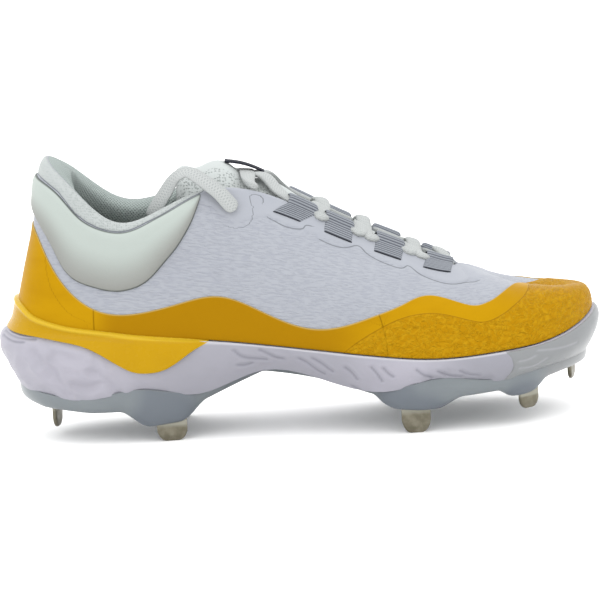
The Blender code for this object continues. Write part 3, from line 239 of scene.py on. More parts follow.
def spline(knots, values):
    """A natural cubic through the rows of values, as a function of an array of places."""
    knots = np.asarray(knots, float)
    values = np.asarray(values, float)
    step = np.diff(knots)
    slope = np.diff(values, axis=0) / step[:, None]
    count = len(knots)
    matrix = np.eye(count)
    right = np.zeros_like(values)
    for i in range(1, count - 1):
        matrix[i, i - 1 : i + 2] = (step[i - 1], 2 * (step[i - 1] + step[i]), step[i])
        right[i] = 6 * (slope[i] - slope[i - 1])
    bend = np.linalg.solve(matrix, right)

    def at(place):
        place = np.asarray(place, float)
        i = np.clip(np.searchsorted(knots, place) - 1, 0, count - 2)
        h = step[i][..., None]
        before = (place - knots[i])[..., None] / h
        after = 1 - before
        return (
            after * values[i]
            + before * values[i + 1]
            + h * h / 6 * ((after**3 - after) * bend[i] + (before**3 - before) * bend[i + 1])
        )

    return at


def run_length(points):
    """The length along a line of points, up to each of them."""
    steps = np.linalg.norm(np.diff(points, axis=0), axis=-1)
    return np.concatenate([[0], np.cumsum(steps)])


def points_at(places, length, line):
    """The points of a line at places along its length."""
    return np.stack([np.interp(places, length, column) for column in np.array(line).T], axis=1)


def smooth_step(value, start, end):
    share = np.clip((value - start) / (end - start), 0, 1)
    return share * share * (3 - 2 * share)


def round_off(share):
    """The height of a quarter circle: 0 at 0, and 1 from 1 on."""
    return np.sqrt(1 - (1 - np.clip(share, 0, 1)) ** 2)


def row_of(g):
    return np.abs(wrapped(g)) * ROWS


def around(rows, lateral, medial):
    """A smooth closed function of g, which is 0 at the heel, 1 at the toe by the lateral side and
    -1 by the medial side."""
    wrap = 4
    knots = {}
    for row, left, right in zip(rows, lateral, medial):
        knots[row] = left
        knots[2 * ROWS - row] = right
        knots[row - 2 * ROWS] = left
        if row > 0:
            knots[-row] = right
    places = sorted(place for place in knots if abs(place) <= ROWS + wrap)
    return spline(np.array(places) / ROWS, [knots[place] for place in places])


def share_line(table):
    """A closed line of shares from a table of row, lateral and medial share."""
    table = np.array(table)
    made = around(table[:, 0], table[:, 1, None], table[:, 2, None])
    return lambda g: made(wrapped(g))[..., 0]


def heel_line(table, column):
    """A line of shares round the heel, alike on both sides."""
    table = np.array(table)
    rows = np.concatenate([-table[:0:-1, 0], table[:, 0]])
    shares = np.concatenate([table[:0:-1, column], table[:, column]])
    made = spline(rows / ROWS, shares[:, None])
    limit = table[-1, 0] / ROWS
    return lambda g: made(np.clip(wrapped(g), -limit, limit))[..., 0]


def wrapped(g):
    return (np.asarray(g, float) + 1) % 2 - 1


def length_at(station):
    return SHOE_LENGTH * (station - 0.5)


def station_at(x):
    return x / SHOE_LENGTH + 0.5


def sole_height_at(share):
    return STUD_HEIGHT + SOLE_HEIGHT * share


def upper_height_at(share):
    return STUD_HEIGHT + SOLE_HEIGHT + UPPER_HEIGHT * share


def closed_line(table, widths, heights):
    """The closed line of a table, from its columns of lateral and medial widths and heights."""
    table = np.array(table)
    x = length_at(table[:, 0])
    sides = [
        np.stack([x, BALL_WIDTH * table[:, width], sole_height_at(table[:, height])], axis=1)
        for width, height in zip(widths, heights)
    ]
    return around(range(ROWS + 1), *sides)


base_line = closed_line(BASE, (1, 2), (3, 4))
bulge_line = closed_line(SOLE, (1, 2), (3, 4))
lower_height = around(range(ROWS + 1), *[sole_height_at(np.array(SOLE)[:, k, None]) for k in (6, 7)])
lower_inset = around(range(ROWS + 1), *[BALL_WIDTH * np.array(SOLE)[:, 5, None]] * 2)
plate_line = around(range(ROWS + 1), *[np.array(PLATE)] * 2)
gold_top = share_line(GOLD_TOP)
rand_top = share_line(RAND_TOP)


def fullness_rows(side):
    table = np.array(FULLNESS)
    swing = np.radians(table[:, 4])
    return np.column_stack([table[:, :4], -np.cos(swing), -np.sin(swing) * side])


fullness = around(range(ROWS + 1), fullness_rows(1), fullness_rows(-1))


def edge_rows():
    """The collar and throat edge from the medial throat, round the heel, to the lateral throat."""
    rows = []
    for sign, width, height in ((-1, 3, 5), (1, 2, 4)):
        for line in EDGE[::-1] if sign < 0 else EDGE[1:]:
            place = (length_at(line[1]), BALL_WIDTH * line[width], upper_height_at(line[height]))
            rows.append((sign * line[0] / ROWS, *place))
    return np.array(rows)


def ridge_rows():
    """The toe box ridge, mirrored past the toe so that it ends smoothly."""
    rows = [
        (line[0] / ROWS, length_at(line[1]), BALL_WIDTH * line[2], upper_height_at(line[3]))
        for line in RIDGE
    ]
    mirrored = [(2 - row[0], *row[1:]) for row in rows[-2::-1]]
    return np.array(rows + mirrored)


edge_spline = spline(edge_rows()[:, 0], edge_rows()[:, 1:])
ridge_spline = spline(ridge_rows()[:, 0], ridge_rows()[:, 1:])
THROAT = THROAT_ROW / ROWS


def top_line(g):
    """The collar rim, the throat edge, and past the throat the ridge of the toe box."""
    g = wrapped(g)
    open_part = edge_spline(np.clip(g, -THROAT, THROAT))
    closed_part = ridge_spline(np.maximum(np.abs(g), THROAT))
    return np.where((np.abs(g) < THROAT)[..., None], open_part, closed_part)


def unit(vectors):
    return vectors / np.linalg.norm(vectors, axis=-1, keepdims=True)


def outward(line, g):
    """The level direction that points out of the shoe from a closed line."""
    small = 1e-3
    along = line(wrapped(g + small))[..., :2] - line(wrapped(g - small))[..., :2]
    return unit(np.stack([along[..., 1], -along[..., 0], np.zeros(np.shape(g))], axis=-1))


UP = np.array([0.0, 0.0, 1.0])


def bezier(points, v):
    v = np.asarray(v)[..., None]
    a, b, c, d = points
    return (1 - v) ** 3 * a + 3 * (1 - v) ** 2 * v * b + 3 * (1 - v) * v * v * c + v**3 * d


def last_surface(g, v):
    """The wall of the upper: v runs from the sole (0) to the collar, throat or ridge (1)."""
    g = wrapped(g)
    base, top = base_line(g), top_line(g)
    lean, reach, fall, top_reach, back, side = np.moveaxis(fullness(g), -1, 0)
    size = np.linalg.norm(top - base, axis=-1)
    start = outward(base_line, g) * lean[..., None] + UP
    level = unit(np.stack([back, side, np.zeros_like(back)], axis=-1))
    fall = np.radians(fall)[..., None]
    end = level * np.cos(fall) - UP * np.sin(fall)
    low, high = base + start * (reach * size)[..., None], top + end * (top_reach * size)[..., None]
    return bezier((base, low, high, top), v)


def lip_line(g):
    """The midsole's upper edge, which stands out under the upper."""
    lip = base_line(g) + outward(base_line, g) * (CLIP_THICKNESS + FIT_GAP)
    return lip - UP * FIT_GAP


def sole_surface(g, w):
    """The side of the sole: w runs from its lower edge (0) over the bulge to its lip (1)."""
    g = wrapped(g)
    bulge = bulge_line(g)
    lower = bulge - outward(bulge_line, g) * lower_inset(g)
    lower[..., 2] = lower_height(g)[..., 0]
    lip = lip_line(g)
    middle = 2 * bulge - (lower + lip) / 2
    w = np.asarray(w)[..., None]
    return (1 - w) ** 2 * lower + 2 * (1 - w) * w * middle + w * w * lip


def last_normal(g, v):
    """The outward normal of the wall. On the ridge both sides share one."""
    small = 2e-3

    def one_side(g):
        along = last_surface(g + small, v) - last_surface(g - small, v)
        up = last_surface(g, np.minimum(v + small, 1)) - last_surface(g, np.maximum(v - small, 0))
        return unit(np.cross(along, up))

    v = np.clip(v, 0.01, 0.96)
    normal = one_side(g)
    ridge = ((np.abs(wrapped(g)) >= THROAT - 1e-9) & (v > 0.955))[..., None]
    return unit(np.where(ridge, normal + one_side(-g), normal))


def toe_drop(g, v):
    """How far the toe's top lies below the solid's."""
    return np.interp(row_of(g), *zip(*TOE_DROP)) * smooth_step(v, 0.20, 0.80)


def offset_last(g, v, out):
    g, v, out = np.broadcast_arrays(np.asarray(g, float), np.asarray(v, float), out)
    return last_surface(g, v) + last_normal(g, v) * out[..., None] - UP * toe_drop(g, v)[..., None]


def offset_sole(g, w, out):
    g, w, out = np.broadcast_arrays(np.asarray(g, float), np.asarray(w, float), out)
    return sole_surface(g, w) + outward(bulge_line, g) * out[..., None]


def pad_share(g, v):
    """How full the collar padding is: 1 near its rim, 0 below it and in the throat."""
    start, peak = 0.50, 0.90
    drop = np.clip((v - peak) / (1 - peak), 0, 1)
    swell = smooth_step(v, start, peak) * np.sqrt(1 - drop * drop)
    return swell * (1 - smooth_step(np.abs(wrapped(g)), 0.38, 0.52))


def wall_out(g, v):
    return COLLAR_PROUD * pad_share(g, v)


def wall_in(g, v):
    """Depth of the wall's inner face: the wall thins to its rim, and the collar is padded."""
    rim = np.clip((1 - v) / 0.05, 0, 1)
    open_rim = np.where(np.abs(wrapped(g)) < THROAT - 1e-9, rim, 1.0)
    wall = RIM_WALL + (UPPER_WALL - RIM_WALL) * open_rim
    return wall + COLLAR_PAD * pad_share(g, v)


def sheet_height(line, drop=lambda x: 0.0):
    """The height of a sheet that spans a closed line from side to side, as a function of a place."""
    g = np.linspace(0, 1, 80)
    lateral, medial = line(g), line(-g)

    def height(x, y):
        left_y, left_z = [np.interp(x, lateral[:, 0], lateral[:, k]) for k in (1, 2)]
        right_y, right_z = [np.interp(x, medial[:, 0], medial[:, k]) for k in (1, 2)]
        share = np.clip((y - left_y) / np.maximum(right_y - left_y, 1e-6), 0, 1)
        return left_z + (right_z - left_z) * share - drop(x)

    return height


footbed_depth = spline(np.array(FOOTBED)[:, 0], np.array(FOOTBED)[:, 1:])


def footbed_drop(x):
    return SOLE_HEIGHT * footbed_depth(station_at(x))[..., 0]


floor_height = sheet_height(lambda g: sole_surface(g, 0.0))
footbed_height = sheet_height(base_line, footbed_drop)

tongue_table = np.array(TONGUE)[::-1]
tongue_form = spline(tongue_table[:, 0], tongue_table[:, 1:])


def tongue_top(row, s):
    """The tongue's upper face at a row: s runs from its lateral edge (-1) to its medial one (1)."""
    row, s = np.broadcast_arrays(np.asarray(row, float), np.asarray(s, float))
    g = row / ROWS
    crown, clearance, _ = np.moveaxis(tongue_form(row), -1, 0)
    depth = np.abs(s) - TONGUE_EDGE
    v = 0.97 - 0.30 * np.clip(depth, 0, 1) / (1 - TONGUE_EDGE)
    left, right = [offset_last(k * g, v, -wall_in(k * g, v) - clearance) for k in (1, -1)]
    u = np.clip((s / TONGUE_EDGE + 1) / 2, 0, 1)
    rims = (top_line(g) + top_line(-g)) / 2
    lift = rims[..., 2] + crown - (left + right)[..., 2] / 2
    arch = left + (right - left) * u[..., None] + UP * (4 * u * (1 - u) * lift)[..., None]
    flank = np.where((s < 0)[..., None], left, right)
    return np.where((depth > 0)[..., None], flank, arch)


def grid_normals(grid):
    """Upward normals of a grid of points."""
    normal = unit(np.cross(np.gradient(grid, axis=0), np.gradient(grid, axis=1)))
    middle = normal[grid.shape[0] // 2, grid.shape[1] // 2]
    return normal * np.sign(middle[2])


def smooth_route(points, spacing):
    """Points at even steps on a smooth curve through a route's points."""
    lengths = run_length(points)
    count = max(2, round(lengths[-1] / spacing))
    return spline(lengths, points)(np.linspace(0, lengths[-1], count + 1))


def plate_height(x):
    """The underside of the plate."""
    return np.interp(station_at(x), np.array(SOLE)[:, 0], sole_height_at(np.array(PLATE)[:, 0]))


def loop_frame(g):
    """The throat edge with the wall's outward normal and its upward direction there."""
    edge = top_line(g)
    normal = last_normal(g, np.full(np.shape(g), 0.95))
    return edge, normal, unit(edge - last_surface(g, np.full(np.shape(g), 0.94)))


LOOP_RADIUS = LACE_DIAMETER / 2 + 1.6 * FIT_GAP


def loop_centre(g):
    """Where the lace runs: inside the loops, just past the throat edge."""
    edge, normal, up = loop_frame(g)
    return edge + up * (LOOP_RADIUS + FIT_GAP) - normal * RIM_WALL / 2


def loop_span(row, side):
    """The places of a loop's two ends along the throat edge."""
    g = np.array([row - 0.5, row + 0.5]) * side / ROWS
    per_row = np.linalg.norm(np.diff(top_line(g), axis=0))
    half = LOOP_LENGTH / 2 / per_row
    return side * (row - half) / ROWS, side * (row + half) / ROWS


def lace_over(row, s, lift=0.0):
    """A lace centre that lies on the tongue."""
    small = 0.02
    here = tongue_top(row, s)
    normal = unit(np.cross(tongue_top(row + small, s) - here, tongue_top(row, s + small) - here))
    return here + normal * np.sign(normal[2]) * (LACE_DIAMETER / 2 + 2 * FIT_GAP + lift)


# Camera and light
CAMERA_ELEVATION = 8.0  # degrees
CAMERA_ROLL = 3.0  # degrees
CAMERA_DISTANCE = 0.950
CAMERA_LENS = 113.2
CAMERA_AIM = (0.0, 0.0, 0.062)

LIGHT_GAIN = 0.465  # albedo against the photo's colour, under this light
WORLD_STRENGTH = 2.0
FLOOR_REACH = 14.0
LIGHTS = (
    # name, place, size, power
    ("top_light", (-0.10, -0.15, 1.25), 1.1, 4.6),
    ("front_light", (-0.75, -1.25, 0.75), 1.0, 2.7),
)

# The lace as it shows, and where a loop or the strip pinches it
LACE_WIDTH = 0.0074
LACE_HEIGHT = 0.0030
PINCHED_WIDTH = 0.0046
PINCHED_HEIGHT = 0.0036
TAPE_WIDTH = 0.0076
TAPE_THICKNESS = 0.0015

# Rows of the loops as they show: the foot of the outer leg, and the top, which leans forward
LOOPS_SHOWN = ((7.20, 7.50), (7.97, 8.04), (8.72, 8.81), (9.44, 9.55))
LOOP_WIDER = 1.14  # width of a loop as it shows, against the solid's

# Which way the free end's flat face looks at each point of its route
TAPE_FACES = (
    (0.1, -0.3, 1.0), (0.1, -0.1, 1.0), (0.1, 0.0, 1.0), (0.1, 0.0, 1.0), (0.1, 0.0, 1.0),
    (0.1, 0.0, 1.0), (0.1, 0.1, 1.0), (0.1, 0.3, 1.0), (0.0, 0.3, 1.0), (0.0, 0.1, 1.0),
    (0.0, 0.0, 1.0), (-0.3, -0.1, 1.0), (-0.7, -0.2, 0.8), (-0.9, -0.3, 0.6), (-0.9, -0.4, 0.8),
    (-0.4, -0.7, 0.9), (-0.3, -1.0, 0.2), (-0.5, -1.0, 0.1), (-0.6, -1.0, 0.3), (-0.5, -0.8, 0.8),
    (0.0, -0.7, 1.0), (0.3, -1.0, 0.8), (0.3, -1.0, 0.5), (0.2, -1.0, 0.4), (0.1, -1.0, 0.3),
    (0.1, -1.0, 0.3),
)

# Seam lines on the upper: row and share of the wall.
QUARTER_SEAMS = (
    (
        (5.63, 0.86), (5.9, 0.88), (6.02, 0.85), (6.03, 0.79), (6.14, 0.74), (6.31, 0.73),
        (6.49, 0.75), (6.64, 0.82), (6.68, 0.88), (6.66, 0.93), (6.73, 0.97), (6.84, 0.97),
        (6.87, 0.93),
    ),
    ((6.90, 0.83), (6.98, 0.82), (7.14, 0.80), (7.32, 0.81), (7.43, 0.83), (7.51, 0.87), (7.60, 0.88)),
    (
        (7.65, 0.79), (7.8, 0.78), (8.04, 0.8), (8.3, 0.86), (8.36, 0.83), (8.48, 0.79),
        (8.74, 0.76), (8.87, 0.76), (9.01, 0.81), (9.11, 0.76), (9.28, 0.71), (9.58, 0.67),
        (9.83, 0.67), (10.04, 0.62), (10.25, 0.64),
    ),
)

# The lower edge of the smooth facing above those seams
FACING_LOW = (
    # row, share
    (5.4, 0.99), (5.9, 0.9), (6.3, 0.76), (6.9, 0.85), (7.3, 0.82), (7.7, 0.83), (8.3, 0.84),
    (8.9, 0.79), (9.5, 0.7), (10.2, 0.66), (11.0, 0.8), (12.0, 1.1), (14.0, 1.2),
)

# The lower edge of the collar's binding
BINDING_LOW = (
    # row, share
    (0.0, 0.9), (1.31, 0.91), (1.94, 0.91), (2.22, 0.89), (2.55, 0.86), (2.9, 0.86), (3.29, 0.88),
    (3.72, 0.91), (4.16, 0.93), (4.54, 0.95), (4.91, 0.95), (5.37, 0.965), (5.74, 0.98),
    (6.2, 1.05),
)

# The slanted stitch line on each side of the heel's golden film: row and share of the wall
COUNTER_SEAM = ((1.55, 0.58), (1.72, 0.46), (1.98, 0.32), (2.30, 0.22), (2.62, 0.15), (2.90, 0.12))

# The padded panel as it shows
PANEL_SHAPE = (
    # row, lower edge, upper edge
    (0.0, 0.67, 0.89), (0.45, 0.67, 0.89), (1.45, 0.61, 0.9), (2.0, 0.52, 0.893),
    (2.33, 0.44, 0.872), (2.7, 0.39, 0.85), (3.1, 0.38, 0.86), (3.51, 0.38, 0.888),
    (3.9, 0.41, 0.91), (4.35, 0.49, 0.93), (4.7, 0.59, 0.944), (5.02, 0.67, 0.948),
    (5.3, 0.75, 0.956), (5.53, 0.83, 0.965), (5.67, 0.9, 0.972), (5.77, 0.96, 0.978),
)
PANEL_FRONT = 5.77
PANEL_SWELL = 0.0019  # how far the panel's middle stands out
PANEL_ROUND = 0.0045  # width of its rounded edge

# The clip as it shows: its lower edge on the sole's side and its upper edge on the wall
CLIP_SHAPE = (
    # row, lower edge, upper edge
    (0.0, 0.97, 0.165), (0.6, 0.97, 0.155), (1.08, 0.97, 0.138), (1.53, 0.97, 0.105),
    (1.9, 0.96, 0.088), (2.43, 0.921, 0.069), (2.89, 0.867, 0.06), (3.29, 0.731, 0.054),
    (3.64, 0.536, 0.042), (3.83, 0.44, 0.034), (4.08, 0.413, 0.026), (4.36, 0.483, 0.018),
    (4.74, 0.723, 0.01), (4.91, 0.84, 0.007), (5.16, 0.975, 0.004),
)
CLIP_TIP = 5.16

# Padding and relief
HEEL_PAD = 0.0045  # padding inside the heel collar, past the solid's
HEEL_BULGE = 0.0018  # how far the foam bulges at the heel
CREASE_DEPTH = 0.0005
FOLD_DEPTH = 0.0009

MERGE_DISTANCE = 2e-6  # points of a mesh that lie closer are joined

# Fine creases of the foam's side: station and height of their points in mm, from the middle.
FOAM_CREASES = (
    ((-33.1, 44.2), (-30.1, 41.4), (-26.6, 40.1), (-22.1, 39.5), (-17.7, 39.1)),
    ((-20.6, 44.0), (-17.5, 42.5), (-14.0, 40.3), (-9.6, 39.2)),
    ((-31.7, 36.7), (-28.6, 36.6), (-24.9, 37.5)),
    ((-1.6, 39.1), (1.9, 37.0), (5.3, 34.0), (9.6, 31.1)),
    ((4.7, 39.3), (8.1, 37.1), (11.1, 34.5), (13.7, 32.2)),
    ((20.1, 34.3), (22.7, 31.8), (25.2, 28.0)),
    ((22.3, 24.9), (24.5, 23.7), (25.8, 22.5)),
    ((32.6, 34.0), (35.1, 30.6), (37.2, 26.9)),
    ((38.4, 33.4), (40.5, 30.8), (42.7, 29.1)),
    ((54.0, 32.5), (56.6, 30.4), (61.0, 28.2)),
    ((64.3, 31.6), (67.8, 29.6), (72.2, 28.4), (75.8, 28.1)),
    ((75.0, 31.1), (78.5, 29.2), (83.8, 28.0)),
    ((-147.3, 56.1), (-140.6, 54.9), (-133.7, 55.4)),
    ((-148.4, 53.3), (-141.9, 52.2), (-132.7, 53.1)),
    ((-147.7, 50.2), (-142.1, 49.0), (-137.5, 50.1)),
)

# Wide soft folds of the heel's side and of the fore foam, written alike
FOAM_FOLDS = (
    ((-131.2, 45.3), (-127.7, 39.5), (-123.2, 34.5)),
    ((-122.7, 41.7), (-120.6, 45.0), (-114.5, 43.8), (-106.8, 42.3)),
    ((-125.4, 40.5), (-121.8, 35.8), (-118.3, 29.3), (-115.7, 25.8)),
    ((-112.1, 30.5), (-104.9, 29.2), (-99.6, 31.7), (-97.1, 33.5)),
    ((-103.2, 37.0), (-99.4, 35.5), (-95.2, 31.5), (-91.1, 25.2)),
    ((67.6, 29.9), (71.0, 26.2), (79.1, 22.7)),
    ((59.3, 28.0), (63.9, 25.9), (69.6, 22.0)),
    ((75.7, 25.3), (82.7, 23.8), (89.8, 24.6)),
)

# Soft streaks of the toe bumper, written alike
BUMPER_STREAKS = (
    ((103.6, 33.4), (107.8, 33.8), (112.5, 35.5)),
    ((113.8, 37.6), (123.2, 37.4), (134.4, 37.7)),
    ((104.1, 29.8), (112.4, 30.5), (118.4, 33.8)),
)


def tone(red, green, blue, gain=LIGHT_GAIN):
    """An albedo from an 8-bit colour."""
    shares = [channel / 255 for channel in (red, green, blue)]
    linear = [share / 12.92 if share < 0.04045 else ((share + 0.055) / 1.055) ** 2.4 for share in shares]
    return (*[min(channel * gain, 0.95) for channel in linear], 1.0)


# Mesh building


def column_places(start, end, spacing, keep=()):
    """Places between two rows, about one spacing apart along the wall."""
    g = np.linspace(start, end, 4000) / ROWS
    length = run_length(last_surface(g, np.full(len(g), 0.4)))
    count = max(6, round(length[-1] / spacing))
    places = np.interp(np.linspace(0, length[-1], count + 1), length, g)
    for row in keep:
        places[np.argmin(np.abs(places - row / ROWS))] = row / ROWS
    return places


def all_round(lateral):
    """Places all round: along the lateral side to the toe, and back by the medial side."""
    return np.concatenate([lateral, -lateral[-2:0:-1]])


def quads(index, closed=False):
    """Faces between the columns and rows of an array of vertex numbers."""
    if closed:
        index = np.concatenate([index, index[:1]])
    corners = (index[:-1, :-1], index[1:, :-1], index[1:, 1:], index[:-1, 1:])
    return np.stack(corners, axis=-1).reshape(-1, 4)


def make_mesh(name, points, faces, looks=None, uv=None, values=None):
    """A closed mesh that faces outward. UVs are in metres, and values are named numbers per point."""
    mesh = bpy.data.meshes.new(name)
    faces = [list(dict.fromkeys(face)) for face in faces]
    mesh.from_pydata(points.tolist(), [], [face for face in faces if len(face) > 2])
    if looks is not None:
        mesh.polygons.foreach_set("material_index", np.asarray(looks, np.int32))
    if uv is not None:
        corners = np.zeros(len(mesh.loops), np.int32)
        mesh.loops.foreach_get("vertex_index", corners)
        layer = mesh.uv_layers.new(name="metres")
        layer.data.foreach_set("uv", uv[corners].astype(np.float32).ravel())
    for key, array in (values or {}).items():
        field = mesh.attributes.new(key, "FLOAT", "POINT")
        field.data.foreach_set("value", array.astype(np.float32))
    work = bmesh.new()
    work.from_mesh(mesh)
    bmesh.ops.remove_doubles(work, verts=work.verts, dist=MERGE_DISTANCE)
    bmesh.ops.recalc_face_normals(work, faces=work.faces)
    work.to_mesh(mesh)
    work.free()
    mesh.shade_smooth()
    return mesh


def grid_uv(grid):
    """UVs of a grid of points: the way along its middle row and the way up its own profile."""
    up = np.linalg.norm(np.diff(grid, axis=1), axis=-1)
    height = np.concatenate([np.zeros((len(grid), 1)), np.cumsum(up, axis=1)], axis=1)
    along = run_length(grid[:, grid.shape[1] // 2])
    return np.stack([np.broadcast_to(along[:, None], height.shape), height], axis=-1)


def shell(name, outer, inner, closed=False, top_free=None, values=None):
    """A closed wall between two grids with the same columns. Values are arrays over the outer grid,
    and are 0 on the inner one, whose faces have the second look."""
    first = np.arange(outer[..., 0].size).reshape(outer.shape[:2])
    second = first.size + np.arange(inner[..., 0].size).reshape(inner.shape[:2])
    outside, inside = quads(first, closed), quads(second, closed)
    bottom, top = [quads(np.stack([first[:, k], second[:, k]], axis=1), closed) for k in (0, -1)]
    if top_free is not None:
        top = top[(top_free | np.roll(top_free, -1))[: len(top)]]
    rims = [bottom, top]
    if not closed:
        rims += [quads(np.stack([first[end], second[end]])) for end in (0, -1)]
    faces = np.concatenate([outside, inside, *rims])
    looks = np.zeros(len(faces), int)
    looks[len(outside) : len(outside) + len(inside)] = 1
    points = np.concatenate([outer.reshape(-1, 3), inner.reshape(-1, 3)])
    uv = np.concatenate([grid_uv(grid).reshape(-1, 2) for grid in (outer, inner)])
    pad = np.zeros(second.size)
    fields = {
        key: np.concatenate([np.broadcast_to(array, first.shape).ravel(), pad])
        for key, array in (values or {}).items()
    }
    return make_mesh(name, points, faces.tolist(), looks, uv, fields)


def tube_faces(rings):
    """Faces of a closed tube from its rings of points: the side, and a cap at either end."""
    index = np.arange(rings[..., 0].size).reshape(rings.shape[:2])
    return quads(index, closed=True).tolist() + [index[:, 0].tolist(), index[:, -1].tolist()]


def oval(count, power):
    """A rounded section of half width 1. A power of 1 gives a circle, and less gives a box."""
    angles = np.linspace(0, 2 * math.pi, count, endpoint=False)
    return [np.sign(wave) * np.abs(wave) ** power for wave in (np.cos(angles), np.sin(angles))]


def add_piece(mesh, looks, slot, *nodes):
    """Puts a mesh in the scene as a piece that rides on the shoe and stands for its nodes."""
    piece = bpy.data.objects.new(mesh.name, mesh)
    bpy.context.scene.collection.objects.link(piece)
    for look in looks:
        mesh.materials.append(look)
    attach(piece, "root")
    if nodes:
        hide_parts(*nodes)
    return piece


def row_line(table):
    """A share by row, alike on both sides, as a function of g."""
    return lambda g: np.interp(row_of(g), *zip(*table))


def distance_to(points, lines, normals=None):
    """The distance from each point to the nearest of several lines of points. With normals of the
    surface, it is below 0 on one side of the line."""
    dense, ahead = [], []
    for line in lines:
        length = run_length(line)
        dense.append(points_at(np.arange(0, length[-1], 0.00012), length, line))
        ahead.append(np.gradient(dense[-1], axis=0))
    dense, ahead = np.concatenate(dense), np.concatenate(ahead)
    tree = kdtree.KDTree(len(dense))
    for i, place in enumerate(dense):
        tree.insert(place, i)
    tree.balance()
    flat = points.reshape(-1, 3)
    found = [tree.find(place) for place in flat]
    distance = np.array([hit[2] for hit in found])
    if normals is not None:
        nearest = np.array([hit[1] for hit in found])
        turn = np.cross(ahead[nearest], flat - dense[nearest])
        distance *= np.sign(np.sum(turn * normals.reshape(-1, 3), axis=-1))
    return distance.reshape(points.shape[:-1])


def wall_line(places, side, count=80):
    """A smooth line on the upper's wall through points of row and share."""
    length = run_length(np.array(places) * (1, 5))
    smooth = spline(length, places)(np.linspace(0, length[-1], count))
    return last_surface(side * smooth[:, 0] / ROWS, smooth[:, 1])


def bell(value, width):
    return np.exp(-((value / width) ** 2))


def lumps(points, size, seed):
    """Smooth noise between about -1 and 1 at each point."""
    shift = Vector((seed * 7.3, seed * 3.1, seed * 5.7))
    flat = points.reshape(-1, 3) / size
    values = [noise.noise(Vector(place) + shift) for place in flat]
    return np.array(values).reshape(points.shape[:-1])


# Materials


class Look:
    """A Principled material, and short calls for its nodes."""

    def __init__(self, name, colour, roughness, **sockets):
        self.material = bpy.data.materials.new(name)
        self.material.use_nodes = True
        self.tree = self.material.node_tree
        self.shader = self.tree.nodes["Principled BSDF"]
        self.set("Base Color", colour)
        self.set("Roughness", roughness)
        for key, value in sockets.items():
            self.set(key.replace("_", " "), value)

    def set(self, socket, value):
        self.put(self.shader.inputs[socket], value)

    def put(self, socket, value):
        if isinstance(value, bpy.types.NodeSocket):
            self.tree.links.new(value, socket)
        else:
            socket.default_value = value

    def node(self, kind, inputs, output=0, **settings):
        """The output of a new node."""
        made = self.tree.nodes.new("ShaderNode" + kind)
        for key, value in settings.items():
            setattr(made, key, value)
        for key, value in inputs.items():
            self.put(made.inputs[key], value)
        return made.outputs[output]

    def uv(self, across, up=None, turn=0.0):
        """The UV place in metres, divided by the size of the pattern."""
        inputs = {"Vector": self.node("UVMap", {}, uv_map="metres")}
        inputs["Rotation"] = (0, 0, math.radians(turn))
        turned = self.node("Mapping", inputs)
        return self.node("Mapping", {"Vector": turned, "Scale": (1 / across, 1 / (up or across), 1)})

    def place(self, across, deep=None, up=None):
        """The place in the shoe, divided by the size of the pattern."""
        scale = [1 / (size or across) for size in (across, deep, up)]
        place = self.node("TexCoord", {}, "Object")
        return self.node("Mapping", {"Vector": place, "Scale": scale})

    def noise(self, vector, detail=2.0, roughness=0.5, warp=0.0):
        inputs = {"Vector": vector, "Scale": 1.0, "Detail": detail}
        inputs.update({"Roughness": roughness, "Distortion": warp})
        return self.node("TexNoise", inputs)

    def dots(self, vector, start, end, randomness):
        """1 in the dots of a loose grid, 0 between them."""
        inputs = {"Vector": vector, "Scale": 1.0, "Randomness": randomness}
        return self.ramp(self.node("TexVoronoi", inputs, "Distance"), start, end, 1.0, 0.0)

    def wave(self, vector, warp):
        inputs = {"Vector": vector, "Scale": math.pi / 10, "Distortion": warp}
        return self.node("TexWave", inputs, "Fac", bands_direction="Y")

    def value(self, name):
        return self.node("Attribute", {}, "Fac", attribute_name=name)

    def ramp(self, value, start, end, low=0.0, high=1.0):
        inputs = {"Value": value, "From Min": start, "From Max": end, "To Min": low, "To Max": high}
        return self.node("MapRange", inputs, interpolation_type="SMOOTHSTEP")

    def math(self, operation, first, second=0.0):
        return self.node("Math", {0: first, 1: second}, operation=operation)

    def times(self, first, second):
        return self.math("MULTIPLY", first, second)

    def mix(self, share, first, second):
        return self.node("Mix", {0: share, 6: first, 7: second}, 2, data_type="RGBA")

    def bump(self, height, depth, below=None):
        inputs = {"Height": height, "Distance": depth, "Strength": 1.0}
        if below:
            inputs["Normal"] = below
        return self.node("Bump", inputs)

    def line(self, name, start, end, strength):
        """A thin line where a signed distance is near 0."""
        return self.ramp(self.math("ABSOLUTE", self.value(name)), start, end, strength, 0.0)


KNIT = tone(190, 194, 203)
KNIT_DARK = tone(174, 178, 190)
BINDING = tone(204, 210, 209)
SEAM_LINE = tone(112, 118, 124)
LINING = tone(196, 208, 204)
LINING_HOLE = tone(130, 140, 140)
GOLD = tone(214, 162, 6)
GOLD_DEEP = tone(190, 138, 3)
GOLD_RAND = tone(201, 147, 5)
# painted highlight on the wrinkles' ridges
GOLD_RIDGE_HIGHLIGHT = tone(236, 188, 34)
GOLD_EDGE = tone(216, 196, 132)
GOLD_SEAM = tone(140, 98, 2)
CLIP = tone(216, 168, 6)
CLIP_DEEP = tone(208, 160, 5)
# painted highlight along the clip's rims
CLIP_RIM_HIGHLIGHT = tone(246, 208, 60)
PANEL = tone(203, 213, 207)
# painted shade: the panel's lower part, darker as if lit from above
PANEL_LOW_SHADE = tone(164, 166, 161)
# painted shadow along the panel's edge
PANEL_EDGE_SHADOW = tone(88, 96, 92)
FOAM = tone(194, 192, 204)
FOAM_FORE = tone(170, 170, 180)
# painted shade in the foam's fine creases
FOAM_CREASE_SHADE = tone(150, 150, 162)
